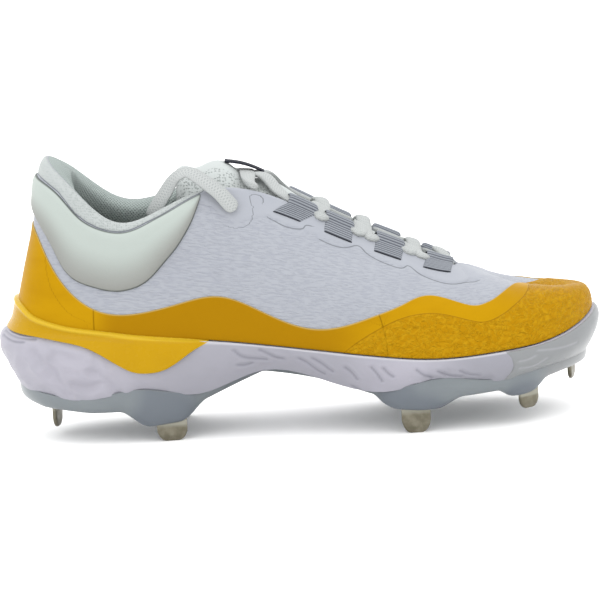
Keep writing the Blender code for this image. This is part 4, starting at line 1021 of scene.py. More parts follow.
# pale: painted highlight along the foam's top lip; also the pale lines along the bumper's streaks
FOAM_RIM = tone(214, 214, 222)
ICE = tone(144, 152, 156)
ICE_DEEP = tone(121, 129, 138)
ICE_PALE = tone(156, 159, 161)
STEEL = tone(128, 122, 102)
STEEL_PALE = tone(158, 152, 132)
STEEL_ROOT = tone(186, 184, 168)
TONGUE_CLOTH = tone(222, 228, 227)
TONGUE_DOT = tone(110, 122, 114)
DARK = (0.004, 0.005, 0.010, 1.0)
DARK_DOT = (0.02, 0.025, 0.045, 1.0)
WEBBING = tone(172, 177, 185)
# painted shade in the grooves between the webbing's ribs
WEBBING_GROOVE_SHADE = tone(84, 89, 100)
# painted shade at the loop's outer foot, where it meets the wall
WEBBING_FOOT_SHADE = tone(40, 44, 52)
LACE = tone(212, 216, 215)
LACE_DEEP = tone(190, 194, 194)
INSOLE = tone(190, 197, 195)
INSOLE_DOT = tone(160, 168, 168)


def knit_look():
    """White knit with fine ripples, thin seam lines and a dotted binding along the collar."""
    look = Look("knit", KNIT, 0.7, Specular_IOR_Level=0.3, Sheen_Weight=0.05, Sheen_Roughness=0.5)
    ripple = look.ramp(look.noise(look.uv(0.0042, 0.0009), 1.5, 0.5, 0.3), 0.42, 0.66)
    binding = look.value("binding")
    for cover in (look.value("facing"), binding):
        ripple = look.times(ripple, look.math("SUBTRACT", 1.0, cover))
    dots = look.times(look.dots(look.uv(0.0013), 0.22, 0.36, 0.35), binding)
    shade = look.mix(look.times(ripple, 0.6), KNIT, KNIT_DARK)
    patches = look.noise(look.place(0.022))
    shade = look.mix(look.ramp(patches, 0.35, 0.75, 0.0, 0.25), shade, KNIT_DARK)
    shade = look.mix(binding, shade, BINDING)
    shade = look.mix(look.times(dots, 0.6), shade, LINING)
    line = look.times(look.line("seam", 0.00015, 0.00045, 0.75), look.value("seam_near"))
    line = look.math("MAXIMUM", line, look.line("binding_edge", 0.0001, 0.00045, 0.8))
    look.set("Base Color", look.mix(line, shade, SEAM_LINE))
    weave = look.noise(look.uv(0.0006, 0.0003), 1.0)
    relief = look.bump(weave, 0.00004, look.bump(ripple, 0.00014))
    look.set("Normal", look.bump(dots, -0.00025, relief))
    return look.material


def lining_look():
    """The collar's open mesh."""
    look = Look("lining", LINING, 0.85, Specular_IOR_Level=0.2)
    holes = look.dots(look.uv(0.0014, turn=40), 0.20, 0.38, 0.1)
    look.set("Base Color", look.mix(look.times(holes, 0.5), LINING, LINING_HOLE))
    look.set("Normal", look.bump(holes, -0.0004))
    return look.material


def gold_look():
    """Golden film: smooth above, wrinkled along the rand."""
    look = Look("golden_film", GOLD, 0.45, Specular_IOR_Level=0.03)
    patches = look.noise(look.place(0.03, 0.03, 0.012), 3.0)
    shade = look.mix(look.ramp(patches, 0.35, 0.8, 0.0, 0.5), GOLD, GOLD_DEEP)
    shade = look.mix(look.value("deep"), shade, GOLD_DEEP)
    rand = look.value("rand")
    shade = look.mix(rand, shade, GOLD_RAND)
    worm = look.noise(look.uv(0.0040, 0.0028), 1.5, 0.5, 1.4)
    ridge = look.math("ABSOLUTE", look.math("SUBTRACT", worm, 0.5))
    wrinkle = look.times(look.ramp(ridge, 0.0, 0.045, 1.0, 0.0), rand)
    both = look.math("MAXIMUM", wrinkle, look.value("wrinkle"))
    # painted highlight: the wrinkles' ridges are lightened
    shade = look.mix(look.times(both, 0.40), shade, GOLD_RIDGE_HIGHLIGHT)
    shade = look.mix(look.line("seam", 0.0001, 0.0004, 0.5), shade, GOLD_SEAM)
    pale = look.ramp(look.value("edge"), 0.0003, 0.0008, 0.55, 0.0)
    look.set("Base Color", look.mix(pale, shade, GOLD_EDGE))
    look.set("Normal", look.bump(look.noise(look.uv(0.0005)), 0.00003, look.bump(wrinkle, 0.00018)))
    look.set("Roughness", look.ramp(patches, 0.2, 0.8, 0.40, 0.50))
    return look.material


def clip_look():
    look = Look("yellow_clip", CLIP, 0.24, Specular_IOR_Level=0.08)
    shade = look.mix(look.ramp(look.noise(look.place(0.02)), 0.3, 0.8, 0.0, 0.5), CLIP, CLIP_DEEP)
    # painted highlight along the clip's upper rim and its lower edge
    look.set("Base Color", look.mix(look.times(look.value("rim"), 0.7), shade, CLIP_RIM_HIGHLIGHT))
    look.set("Roughness", look.ramp(look.noise(look.place(0.004)), 0.3, 0.7, 0.22, 0.30))
    look.set("Normal", look.bump(look.noise(look.place(0.009), 1.0), 0.00010))
    return look.material


def panel_look():
    look = Look("pale_panel", PANEL, 0.6, Specular_IOR_Level=0.3)
    # painted shade: the panel darkens towards its lower edge, as if lit from above
    shade = look.mix(look.ramp(look.value("height"), 0.05, 0.70), PANEL_LOW_SHADE, PANEL)
    # painted shadow: a dark line along the panel's edge, where it meets the knit
    line = look.ramp(look.value("edge"), 0.0002, 0.0010, 0.9, 0.0)
    look.set("Base Color", look.mix(line, shade, PANEL_EDGE_SHADOW))
    look.set("Normal", look.bump(look.noise(look.place(0.0006), 3.0, 0.6), 0.00005))
    return look.material


def foam_look():
    look = Look("white_foam", FOAM, 0.5, Specular_IOR_Level=0.3)
    patches = look.noise(look.place(0.018, 0.018, 0.010), 3.0)
    shade = look.mix(look.value("fore"), FOAM, FOAM_FORE)
    shade = look.mix(look.ramp(patches, 0.4, 0.8, 0.0, 0.35), shade, FOAM_FORE)
    # painted shade: the foam darkens in its fine creases
    shade = look.mix(look.times(look.value("crease"), 0.75), shade, FOAM_CREASE_SHADE)
    # painted highlight: a pale band along the foam's top lip
    look.set("Base Color", look.mix(look.value("lip"), shade, FOAM_RIM))
    look.set("Normal", look.bump(look.noise(look.place(0.0012), 3.0, 0.6), 0.00005))
    return look.material


def ice_look():
    look = Look("icy_plate", ICE, 0.34, Specular_IOR_Level=0.35)
    patches = look.noise(look.place(0.02, 0.02, 0.012), 3.0)
    shade = look.mix(look.ramp(patches, 0.3, 0.8, 0.0, 0.3), ICE, ICE_DEEP)
    shade = look.mix(look.value("boss"), shade, ICE_DEEP)
    shade = look.mix(look.value("bumper"), shade, ICE_PALE)
    look.set("Base Color", look.mix(look.times(look.value("rim"), 0.5), shade, FOAM_RIM))
    look.set("Normal", look.bump(look.noise(look.place(0.0015)), 0.00005))
    return look.material


def steel_look():
    look = Look("spike_steel", STEEL, 0.45, Metallic=0.4, Specular_IOR_Level=0.4)
    blotch = look.noise(look.place(0.004), 3.0)
    shade = look.mix(look.ramp(blotch, 0.35, 0.7), STEEL, STEEL_PALE)
    look.set("Base Color", look.mix(look.value("root"), shade, STEEL_ROOT))
    look.set("Roughness", look.ramp(blotch, 0.3, 0.7, 0.34, 0.55))
    look.set("Normal", look.bump(look.noise(look.place(0.0004, 0.0004, 0.006), 3.0), 0.00006))
    return look.material


def cloth_look(name, colour, deep, size=0.0012, roughness=0.8):
    """A dotted mesh cloth."""
    look = Look(name, colour, roughness, Specular_IOR_Level=0.2)
    dots = look.dots(look.uv(size, turn=20), 0.2, 0.4, 0.2)
    look.set("Base Color", look.mix(look.times(dots, 0.6), colour, deep))
    look.set("Normal", look.bump(look.noise(look.uv(0.0004)), 0.00008, look.bump(dots, -0.0003)))
    return look.material


def tongue_look():
    """A smooth pale cloth with a dotted band down each edge."""
    look = Look("tongue_mesh", TONGUE_CLOTH, 0.85, Specular_IOR_Level=0.2)
    dots = look.times(look.dots(look.place(0.0014), 0.26, 0.42, 0.6), look.value("band"))
    look.set("Base Color", look.mix(look.times(dots, 0.4), TONGUE_CLOTH, TONGUE_DOT))
    look.set("Normal", look.bump(look.noise(look.uv(0.0005)), 0.00008, look.bump(dots, -0.0003)))
    return look.material


def webbing_look():
    look = Look("grey_webbing", WEBBING, 0.8, Specular_IOR_Level=0.25)
    # painted shade: dark in the grooves between the ribs
    shade = look.mix(look.value("rib"), WEBBING_GROOVE_SHADE, WEBBING)
    # painted shade: the loop's outer foot darkens where it meets the wall
    look.set("Base Color", look.mix(look.value("end"), shade, WEBBING_FOOT_SHADE))
    look.set("Normal", look.bump(look.noise(look.uv(0.0003, 0.0009)), 0.0001))
    return look.material


def lace_look(name):
    look = Look(name, LACE, 0.8, Specular_IOR_Level=0.25)
    threads = [look.wave(look.uv(0.0010, turn=turn), 0.2) for turn in (40, -40)]
    braid = look.math("MAXIMUM", *threads)
    look.set("Base Color", look.mix(look.ramp(braid, 0.3, 1.0), LACE_DEEP, LACE))
    look.set("Normal", look.bump(braid, 0.00012))
    return look.material


# Upper


def smooth_columns(grid, columns, middle, reach, passes):
    """Softens a crease across the columns near a row."""
    share = np.clip(1 - np.abs(np.abs(columns) * ROWS - middle) / reach, 0, 1)[:, None, None]
    for _ in range(passes):
        mean = (np.roll(grid, 1, axis=0) + np.roll(grid, -1, axis=0)) / 2
        grid = grid + (mean - grid) * share * 0.8
    return grid


def make_upper():
    """The knit outside, and the lining inside, joined over the collar's rim and the throat edge."""
    columns = all_round(column_places(0, ROWS, 0.00115, keep=(THROAT_ROW,)))
    g, v = np.meshgrid(columns, 1 - (1 - np.linspace(0, 1, 118)) ** 1.25, indexing="ij")
    rows = row_of(g)
    outer = offset_last(g, v, wall_out(g, v))
    normal = last_normal(g, v)
    seam_lines = [wall_line(seam, side) for seam in QUARTER_SEAMS for side in (1, -1)]
    seams = distance_to(outer, seam_lines, normal)
    height = np.linalg.norm(outer[:, -1] - outer[:, 0], axis=-1)[:, None]
    lows = [row_line(table)(columns)[:, None] for table in (BINDING_LOW, FACING_LOW)]
    binding, facing = [(v - low) * height for low in lows]
    collar = rows < 5.9
    relief = -0.00030 * bell(seams, 0.0008)
    relief += 0.0004 * smooth_step(facing, -0.0010, 0.0012) * (rows > 5.5)
    relief -= 0.0003 * bell(binding, 0.0005) * collar
    relief *= smooth_step(1 - v, 0.0, 0.02)
    outer = outer + normal * relief[..., None]
    g_in, v_in = np.meshgrid(columns, 1 - (1 - np.linspace(0, 1, 40)) ** 1.3, indexing="ij")
    pad = HEEL_PAD * (1 - smooth_step(row_of(g_in), 1.2, 3.4))
    pad *= smooth_step(v_in, 0.60, 0.82) * (1 - smooth_step(v_in, 0.92, 1.0))
    inner = offset_last(g_in, v_in, -wall_in(g_in, v_in) - pad)
    inner[:, 0, 2] = outer[:, 0, 2]
    free = np.abs(columns) < THROAT - 1e-9
    values = {
        "seam": seams,
        "seam_near": 1 - smooth_step(np.abs(seams), 0.0010, 0.0018),
        "binding_edge": np.where(collar, binding, 0.01),
        "binding": smooth_step(binding, 0.0001, 0.0004) * (rows < 6.2),
        "facing": smooth_step(facing, -0.0010, 0.0005),
    }
    mesh = shell("upper_skin", outer, inner, closed=True, top_free=free, values=values)
    return add_piece(mesh, [knit_look(), lining_look()], "white_knit", "upper")


# The golden film
FILM_THICKNESS = 0.0006
FILM_STEP = 0.0004  # how much further the rand stands out
FILM_SINK = 0.0001  # how far the film's thin edge stands out


def film_low(g):
    """The film runs down to the sole, and under the heel clip."""
    high = heel_line(CLIP_SHAPE, 2)(g)
    return np.where(row_of(g) < CLIP_TIP, np.maximum(high - 0.035, 0.002), 0.002)


def edge_shares(count):
    """Shares from 0 to 1 that crowd towards both ends."""
    even = np.linspace(0, 1, count)
    ends = (0.0, 0.004, 0.010, 0.018)
    return np.unique(np.concatenate([ends, even[1:-1], 1 - np.array(ends)]))


def make_gold_layer(name, columns, count, look, seams=None):
    top = np.minimum(gold_top(columns), 1.0)
    free = gold_top(columns) < 1.0
    low = film_low(columns)
    share = edge_shares(count)
    v = low[:, None] + (top - low)[:, None] * share
    g = np.broadcast_to(columns[:, None], v.shape)
    rows = row_of(g)
    height = np.linalg.norm(top_line(columns) - base_line(columns), axis=-1)
    length = ((top - low) * height)[:, None]
    full = round_off(np.minimum(share, 1 - share) * length / 0.0006)
    full = np.where(free[:, None] | (share < 0.5), full, 1.0)
    rand = smooth_step(rand_top(g) - v, -0.006, 0.006)
    base = wall_out(g, v)
    outer = offset_last(g, v, base + FILM_SINK + (FILM_THICKNESS + FILM_STEP * rand) * full)
    outer = smooth_columns(outer, columns, THROAT_ROW, 0.8, 12)
    ripple = lumps(outer * (1.0, 1.0, 1.25), 0.0034, 1)
    # wrinkle raises the rand's ridges, and in the look it lightens them as a painted highlight
    wrinkle = np.clip(1 - np.abs(ripple) / 0.20, 0, 1) * rand * full
    normal = last_normal(g, v)
    outer = outer + normal * (0.00010 * wrinkle)[..., None]
    inner = offset_last(g, v, base - FILM_THICKNESS)
    seam = (rand_top(g) - v) * height[:, None]
    for end in (outer[:1], outer[-1:]):
        other = np.linalg.norm(outer - end, axis=-1)
        seam = np.where((other < np.abs(seam)) & (rand < 0.3), other, seam)
    if name == "toe_guard":
        seam = np.where(rows > 11.8, 0.01, seam)
    if seams:
        other = distance_to(outer, seams, normal)
        seam = np.where(np.abs(other) < np.abs(seam), other, seam)
    pale = np.where(free[:, None], (1 - share) * length, 0.01)
    deep = smooth_step(rows, 3.0, 3.6) * (1 - smooth_step(rows, 6.9, 8.1))
    values = {"rand": rand, "seam": seam, "wrinkle": wrinkle, "edge": pale, "deep": deep}
    mesh = shell(f"{name}_skin", outer, inner, top_free=free, values=values)
    return add_piece(mesh, [look, look], "golden_film", name)


def make_gold():
    look = gold_look()
    counter = column_places(-COUNTER_ROW, COUNTER_ROW, 0.0012)
    heel_seams = [wall_line(COUNTER_SEAM, side) for side in (1, -1)]
    make_gold_layer("heel_counter", counter, 40, look, heel_seams)
    band = column_places(COUNTER_ROW, GUARD_ROW, 0.0012)
    make_gold_layer("band_lateral", band, 30, look)
    make_gold_layer("band_medial", -band, 30, look)
    lateral = column_places(GUARD_ROW, ROWS, 0.0010)
    make_gold_layer("toe_guard", np.concatenate([lateral, -lateral[-2::-1]]), 56, look)


def make_ankle_panel():
    columns = column_places(-PANEL_FRONT, PANEL_FRONT, 0.0014)
    share = edge_shares(36)
    low, high = [heel_line(PANEL_SHAPE, k)(columns)[:, None] for k in (1, 2)]
    v = low + (high - low) * share
    g = np.broadcast_to(columns[:, None], v.shape)
    height = np.linalg.norm(top_line(columns) - base_line(columns), axis=-1)[:, None]
    tip = (PANEL_FRONT - np.abs(columns) * ROWS)[:, None] * 0.022
    edge = np.minimum(np.minimum(share, 1 - share) * (high - low) * height, tip)
    base = wall_out(g, v)
    outer = offset_last(g, v, base + 0.0001 + PANEL_SWELL * round_off(edge / PANEL_ROUND))
    inner = offset_last(g, v, base - 0.0005)
    # edge: the distance in from the panel's edge, which sets its painted edge shadow
    # height: the share up the panel, which sets its painted shade
    values = {"edge": edge, "height": np.broadcast_to(share, v.shape)}
    mesh = shell("ankle_panel_skin", outer, inner, values=values)
    look = panel_look()
    piece = add_piece(mesh, [look, look], "pale_panel", "ankle_panel")
    return piece


# Sole


def foam_crease_lines(creases):
    """The creases as lines on the lateral side, and their partners on the medial side."""
    lines = []
    for crease in creases:
        route = smooth_route(np.array([(x, 0, z) for x, z in crease]) / 1000, 0.0005)
        for side in (1, -1):
            g = side * np.interp(route[:, 0], PLACE_X, PLACE_G)
            low, high = sole_surface(g, np.zeros(len(g))), sole_surface(g, np.ones(len(g)))
            w = np.clip((route[:, 2] - low[:, 2]) / (high[:, 2] - low[:, 2]), 0.02, 0.98)
            lines.append(sole_surface(g, w))
    return lines


def bumper_start(w):
    """The row where the bumper starts, at a share of the sole's side."""
    return 10.17 + 0.14 * np.sin(math.pi * np.clip(w, 0, 1))


def bumper_cover(g, w):
    return smooth_step(row_of(g) - bumper_start(w), 0.0, 0.12)


BUMPER_FROM = 10.1  # the row where the toe bumper's columns start

# Places along the sole's side, and how far along the shoe they lie
PLACE_G = np.linspace(0.02, 0.98, 400)
PLACE_X = bulge_line(PLACE_G)[:, 0]


def make_midsole():
    columns = all_round(column_places(0, ROWS, 0.0009))
    g, w = np.meshgrid(columns, np.linspace(0, 1, 62), indexing="ij")
    side = offset_sole(g, w, 0.0)
    near = distance_to(side, foam_crease_lines(FOAM_CREASES))
    fold = distance_to(side, foam_crease_lines(FOAM_FOLDS))
    relief = CREASE_DEPTH * bell(near, 0.0008) - 0.0002 * bell(near - 0.0018, 0.0010)
    relief += FOLD_DEPTH * bell(fold, 0.0022) - 0.0004 * bell(fold - 0.0042, 0.0022)
    relief += facet_relief(side)
    relief -= HEEL_BULGE * bell(row_of(g), 1.6) * bell(w - 0.50, 0.38)
    relief *= smooth_step(1 - w, 0.0, 0.06)
    side = offset_sole(g, w, -relief - 0.0003 * bumper_cover(g, w))
    side[:, 0, 2] = floor_height(side[:, 0, 0], side[:, 0, 1])
    edge = UPPER_WALL + FOOTBED_LIP
    base, out = base_line(columns), outward(base_line, columns)
    inner = base - out * edge - UP * FIT_GAP
    foot = base - out * (edge + FOOTBED_SLOPE)
    foot[:, 2] = footbed_height(foot[:, 0], foot[:, 1])
    rings = np.concatenate([side, inner[:, None], foot[:, None]], axis=1)
    x = side[..., 0]
    fore = 0.75 * smooth_step(x, -0.095, -0.055) * (1 - smooth_step(x, 0.015, 0.045))
    fore += smooth_step(x, 0.050, 0.085) * (1 - smooth_step(x, 0.100, 0.115))
    # the lip band: where the foam's painted highlight lies
    rim = smooth_step(w, 0.93, 0.985) * (1 - bumper_cover(g, w))
    values = {}
    # crease: nearness to the fine creases, where shade is painted
    for key, array, rest in (("crease", bell(near, 0.0006), 0), ("fore", fore, 0), ("lip", rim, 1)):
        values[key] = np.concatenate([array, np.full((len(columns), 2), rest)], axis=1)
    mesh = slab("midsole_skin", rings, floor_height, footbed_height, values)
    return add_piece(mesh, [foam_look()], "white_foam", "midsole")


def facet_relief(points):
    """Shallow angular dents on the heel's side, and a faint unevenness elsewhere."""
    x, z = points[..., 0], points[..., 2]
    heel = smooth_step(-x, 0.080, 0.100) * smooth_step(z, 0.018, 0.026)
    heel *= 1 - smooth_step(z, 0.044, 0.052)
    facets = np.abs(lumps(points, 0.013, 4)) - np.abs(lumps(points, 0.017, 9))
    return 0.0022 * heel * facets + 0.00030 * lumps(points, 0.009, 2)


def slab(name, rings, bottom_height, top_height, values):
    """A closed slab from rings of points, capped by sheets that run straight across."""
    columns, count = rings.shape[:2]
    index = np.arange(columns * count).reshape(columns, count)
    faces = [quads(index, closed=True)]
    points = [rings.reshape(-1, 3)]
    half = columns // 2
    back = -np.arange(half + 1) % columns
    total = columns * count
    across = np.linspace(0, 1, 13)[1:-1]
    for row, height in ((0, bottom_height), (count - 1, top_height)):
        left, right = rings[: half + 1, row], rings[back, row]
        sheet = left[:, None] + (right - left)[:, None] * across[None, :, None]
        sheet[..., 2] = height(sheet[..., 0], sheet[..., 1])
        for end in (0, half):
            sheet[end] = left[end]
        numbers = total + np.arange(sheet[..., 0].size).reshape(sheet.shape[:2])
        ends = index[: half + 1, row][:, None], index[back, row][:, None]
        faces.append(quads(np.concatenate([ends[0], numbers, ends[1]], axis=1)))
        points.append(sheet.reshape(-1, 3))
        total += numbers.size
    points = np.concatenate(points)
    pad = np.zeros(total - columns * count)
    fields = {key: np.concatenate([array.ravel(), pad]) for key, array in values.items()}
    return make_mesh(name, points, np.concatenate(faces).tolist(), uv=points[:, :2], values=fields)


BOSS_REACH = 2.1  # the smooth lump's reach against the boss's foot
# The lumps that differ: how far each is moved forward, its length against the foot's, and its depth
BOSS_SHAPES = {
    "heel_lateral": (-0.0035, 1.00, 1.0),
    "heel_medial": (-0.0035, 1.00, 1.0),
    "ball_lateral": (0.0005, 1.25, 1.0),
    "fore_lateral": (-0.0030, 1.00, 1.0),
    "fore_medial": (-0.0030, 0.90, 1.0),
    "toe": (0.0, 0.80, 0.8),
}


def boss_field(x, y):
    """How far each boss stands down from the plate, and how strongly it is a boss, at a place."""
    drop = np.zeros(np.shape(x))
    share = np.zeros(np.shape(x))
    for name, station, width, turn, _, _, root, foot_shares in SPIKES:
        along, across = [BALL_WIDTH * foot / 2 for foot in foot_shares]
        shift, longer, deeper = BOSS_SHAPES.get(name, (0.0, 1.0, 1.0))
        c, s = math.cos(math.radians(turn)), math.sin(math.radians(turn))
        dx, dy = x - length_at(station) - shift, y - BALL_WIDTH * width
        near = np.hypot((dx * c + dy * s) / (along * longer), (dy * c - dx * s) / across)
        lump = 1 - smooth_step(near, 0.75, BOSS_REACH)
        full = plate_height(length_at(station)) - STUD_HEIGHT * root
        drop = np.maximum(drop, lump * full * deeper)
        share = np.maximum(share, smooth_step(lump, 0.05, 0.6))
    return drop, share


def make_plate(look):
    """The plate with its bosses as smooth lumps."""
    lateral = column_places(0, ROWS, 0.0012)
    sides = []
    for g in (lateral, -lateral):
        waist = np.clip(plate_line(g)[..., 1], 0, 1)[:, None]
        out = outward(bulge_line, g)
        edge = sole_surface(g, np.zeros(len(g))) - out * waist * BALL_WIDTH
        boss = boss_field(edge[:, 0], edge[:, 1])[1][:, None]
        sides.append(edge + out * (0.0002 + 0.0012 * boss))
    left, right = sides
    width = np.linalg.norm(right - left, axis=-1)[:, None]
    spread = np.linspace(-1, 1, 131)
    spread = np.sign(spread) * (1 - (1 - np.abs(spread)) ** 1.7)
    grid = left[:, None] + (right - left)[:, None] * ((spread + 1) / 2)[None, :, None]
    x, y = grid[..., 0], grid[..., 1]
    inset = (1 - np.abs(spread))[None] * width / 2
    top = floor_height(x, y) + 0.0009
    low = np.minimum(plate_height(x), top - 0.0018)
    ends = smooth_step(-x, 0.100, 0.140) + smooth_step(x, 0.105, 0.135)
    turn = np.clip(inset / (PLATE_EDGE * (1 + 1.6 * ends)), 0, 1)
    edge_fall = (1 - (1 - turn) ** 2.2) ** 0.5
    drop, boss = boss_field(x, y)
    rim = top - 0.0004
    lower = np.stack([x, y, rim - (rim - low + drop) * edge_fall], axis=-1)
    upper = np.stack([x, y, top], axis=-1)
    values = {"boss": boss, "bumper": smooth_step(x, 0.112, 0.124) * (1 - boss), "rim": 0 * boss}
    plate = shell("outsole_skin", lower, upper, values=values)
    return add_piece(plate, [look, look], "icy_plate", "outsole")


def make_bumper(look):
    """The part of the plate that wraps the toe."""
    lateral = column_places(BUMPER_FROM, ROWS, 0.0011)
    columns = np.concatenate([lateral, -lateral[-2::-1]])
    shares = np.concatenate([[-0.12, -0.08, -0.04], np.linspace(0, 0.985, 50)])
    g, w = np.meshgrid(columns, shares, indexing="ij")
    start = bumper_start(w)
    rows = start + (np.abs(g) * ROWS - BUMPER_FROM) * (ROWS - start) / (ROWS - BUMPER_FROM)
    g = np.where(g < 0, -1, 1) * rows / ROWS
    g[len(lateral) - 1] = 1.0
    curl = np.clip(-w, 0, 1)[..., None]
    edge = smooth_step(row_of(g) - start, 0.0, 0.10)
    lip = smooth_step(0.985 - w, 0.0, 0.02)
    w = np.clip(w, 0, 1)
    surface = offset_sole(g, w, 0.0)
    streak = distance_to(surface, foam_crease_lines(BUMPER_STREAKS))
    out = 0.0005 * edge * lip - 0.0003 * bell(streak, 0.0007) + 0.00015 * lumps(surface, 0.007, 6)
    outer = offset_sole(g, w, out * lip) - UP * curl * 0.010
    outer = outer - outward(bulge_line, g) * curl * 0.026
    inner = offset_sole(g, w, -BUMPER_THICKNESS) - UP * curl * 0.008
    values = {"boss": 0 * w, "bumper": 0 * w + 1, "rim": bell(streak, 0.0005) * 0.6}
    mesh = shell("toe_bumper_skin", outer, inner, values=values)
    return add_piece(mesh, [look, look], "icy_plate")


def make_outsole():
    look = ice_look()
    make_plate(look)
    make_bumper(look)


def make_spikes():
    look = steel_look()
    x, y = oval(28, 0.35)
    for name, station, width, turn, blade, tip, root, _ in SPIKES:
        low, high = STUD_HEIGHT * tip, STUD_HEIGHT * root + SPIKE_SLOT
        rows = []
        for share in np.concatenate([np.linspace(0, 0.30, 9), np.linspace(0.36, 1, 9)]):
            corner = np.clip(1 - share / 0.26, 0, 1)
            half = SPIKE_WIDTH / 2 * (SPIKE_TIP_SHARE + (1 - SPIKE_TIP_SHARE) * min(share / 0.4, 1))
            half = half - SPIKE_CORNER * (1 - math.sqrt(1 - corner**2))
            thick = SPIKE_THICKNESS * (0.62 + 0.38 * min(share / 0.2, 1))
            z = np.full(len(x), low + (high - low) * share)
            rows.append(np.column_stack([x * half * blade, y * thick / 2, z]))
        rings = np.stack(rows, axis=1)
        c, s = math.cos(math.radians(turn)), math.sin(math.radians(turn))
        spin = np.array([[c, s, 0], [-s, c, 0], [0, 0, 1]])
        points = rings.reshape(-1, 3) @ spin + (length_at(station), BALL_WIDTH * width, 0)
        above = points[:, 2] - STUD_HEIGHT * root
        values = {"root": smooth_step(above, -0.0022, -0.0012)}
        mesh = make_mesh(f"spike_{name}_skin", points, tube_faces(rings), values=values)
        add_piece(mesh, [look], "spike_steel", f"spike_{name}")


def make_heel_clip():
    """The glossy clip, with a rounded rim along its upper edge."""
    columns = column_places(-CLIP_TIP, CLIP_TIP, 0.0013)
    low, high = [heel_line(CLIP_SHAPE, k)(columns)[:, None] for k in (1, 2)]
    thin = CLIP_THICKNESS * smooth_step(CLIP_TIP - np.abs(columns) * ROWS, -0.02, 0.35)[:, None]
    w = low + (0.99 - low) * np.linspace(0, 1, 30)
    v = high * np.linspace(0.2, 1, 22)
    faces = []
    for offset in (-0.0002 + 0 * thin, thin):
        rows = offset_sole(columns[:, None], w, offset)
        climb = offset_last(columns[:, None], v, offset + FIT_GAP)
        faces.append(np.concatenate([rows, climb], axis=1))
    inner, outer = faces
    outer = smooth_rows(outer, 8)
    length = grid_uv(outer)[..., 1]
    left = length[:, -1:] - length
    full = round_off(np.minimum(length / 0.0010, left / 0.0014))
    outer = inner + (outer - inner) * full[..., None]
    bead = bell(left - 0.0014, 0.0011) * (high > 0.02)
    outer = outer + outward(bulge_line, columns)[:, None] * (0.0006 * bead)[..., None]
    # rim: where the clip's painted highlight lies, along its upper rim and its lower edge
    rim = np.maximum(1 - smooth_step(left, 0.0016, 0.0030), 1 - smooth_step(length, 0.0003, 0.0008))
    mesh = shell("heel_clip_skin", outer, inner, values={"rim": rim})
    look = clip_look()
    return add_piece(mesh, [look, look], "yellow_clip", "heel_clip")


def smooth_rows(grid, passes):
    """Softens a grid along its rows, with its ends held."""
    for _ in range(passes):
        mean = (grid[:, :-2] + grid[:, 2:]) / 2
        grid = np.concatenate([grid[:, :1], grid[:, 1:-1] * 0.4 + mean * 0.6, grid[:, -1:]], axis=1)
    return grid


def make_insole():
    """The sock liner, crowned at its sides."""
    columns = all_round(column_places(0, ROWS, 0.003))
    inset = UPPER_WALL + FOOTBED_LIP + FOOTBED_SLOPE + 2 * FIT_GAP
    out = outward(base_line, columns)
    edge = base_line(columns) - out * inset

    def bottom(x, y):
        return footbed_height(x, y) + 1.5 * FIT_GAP

    def top(x, y):
        return bottom(x, y) + INSOLE_THICKNESS

    rings = []
    for share in np.linspace(0, 1, 9):
        ring = edge + out * math.sin(math.pi * share) * 0.0006
        ring[:, 2] = bottom(ring[:, 0], ring[:, 1]) + INSOLE_THICKNESS * share
        rings.append(ring)
    mesh = slab("insole_skin", np.stack(rings, axis=1), bottom, top, {})
    look = cloth_look("insole_cloth", INSOLE, INSOLE_DOT)
    return add_piece(mesh, [look], "insole_cloth", "insole")


# Tongue and laces


def make_tongue():
    across = np.linspace(-1, 1, 81)
    rows = tongue_table[::-1, 0]
    grid = tongue_top(*np.meshgrid(rows, across, indexing="ij"))
    last = grid[-1]
    lips = []
    for back, up, keep in TONGUE_LIP:
        lip = last + (-back, 0, up)
        lip[:, 1] = last[:, 1].mean() + (last[:, 1] - last[:, 1].mean()) * keep
        lips.append(lip)
    grid = np.concatenate([grid, np.stack(lips)])
    thickness = np.concatenate([tongue_form(rows)[:, 2], [0.0046, 0.0020]])
    edge = 0.35 + 0.65 * (1 - across**4)
    inner = grid - grid_normals(grid) * (thickness[:, None] * edge)[..., None]
    knots = run_length(grid[:, 40])
    fine = np.linspace(0, knots[-1], 130)
    dense = []
    for face in (grid, inner):
        dense.append(spline(knots, face.reshape(len(face), -1))(fine).reshape(130, 81, 3))
    band = np.broadcast_to(smooth_step(np.abs(across), 0.26, 0.30), (130, 81))
    mesh = shell("tongue_skin", *dense, values={"band": band})
    look = tongue_look()
    return add_piece(mesh, [look, look], "tongue_mesh", "tongue")


TAB_FRONT_LIFT = 0.0040  # how far the strip's front stands off the tongue


def make_tongue_tab():
    """The thin dark strip that bridges from the tongue's top to the laces."""
    across = np.linspace(-0.13, 0.13, 13)
    front, back = [tongue_top(np.full(13, row), across) for row in TAB_ROWS]
    front, back = front + UP * TAB_FRONT_LIFT, back + UP * 0.0004
    share = np.linspace(0, 1, 25)[:, None, None]
    low = front + (back - front) * share + UP * 0.0012 * np.sin(math.pi * share)
    mesh = shell("tongue_tab_skin", low + UP * 0.0008, low)
    look = cloth_look("dark_strip", DARK, DARK_DOT, 0.0009, 0.7)
    return add_piece(mesh, [look, look], "dark_strip", "tongue_tab")


RIB_PITCH = 0.00135


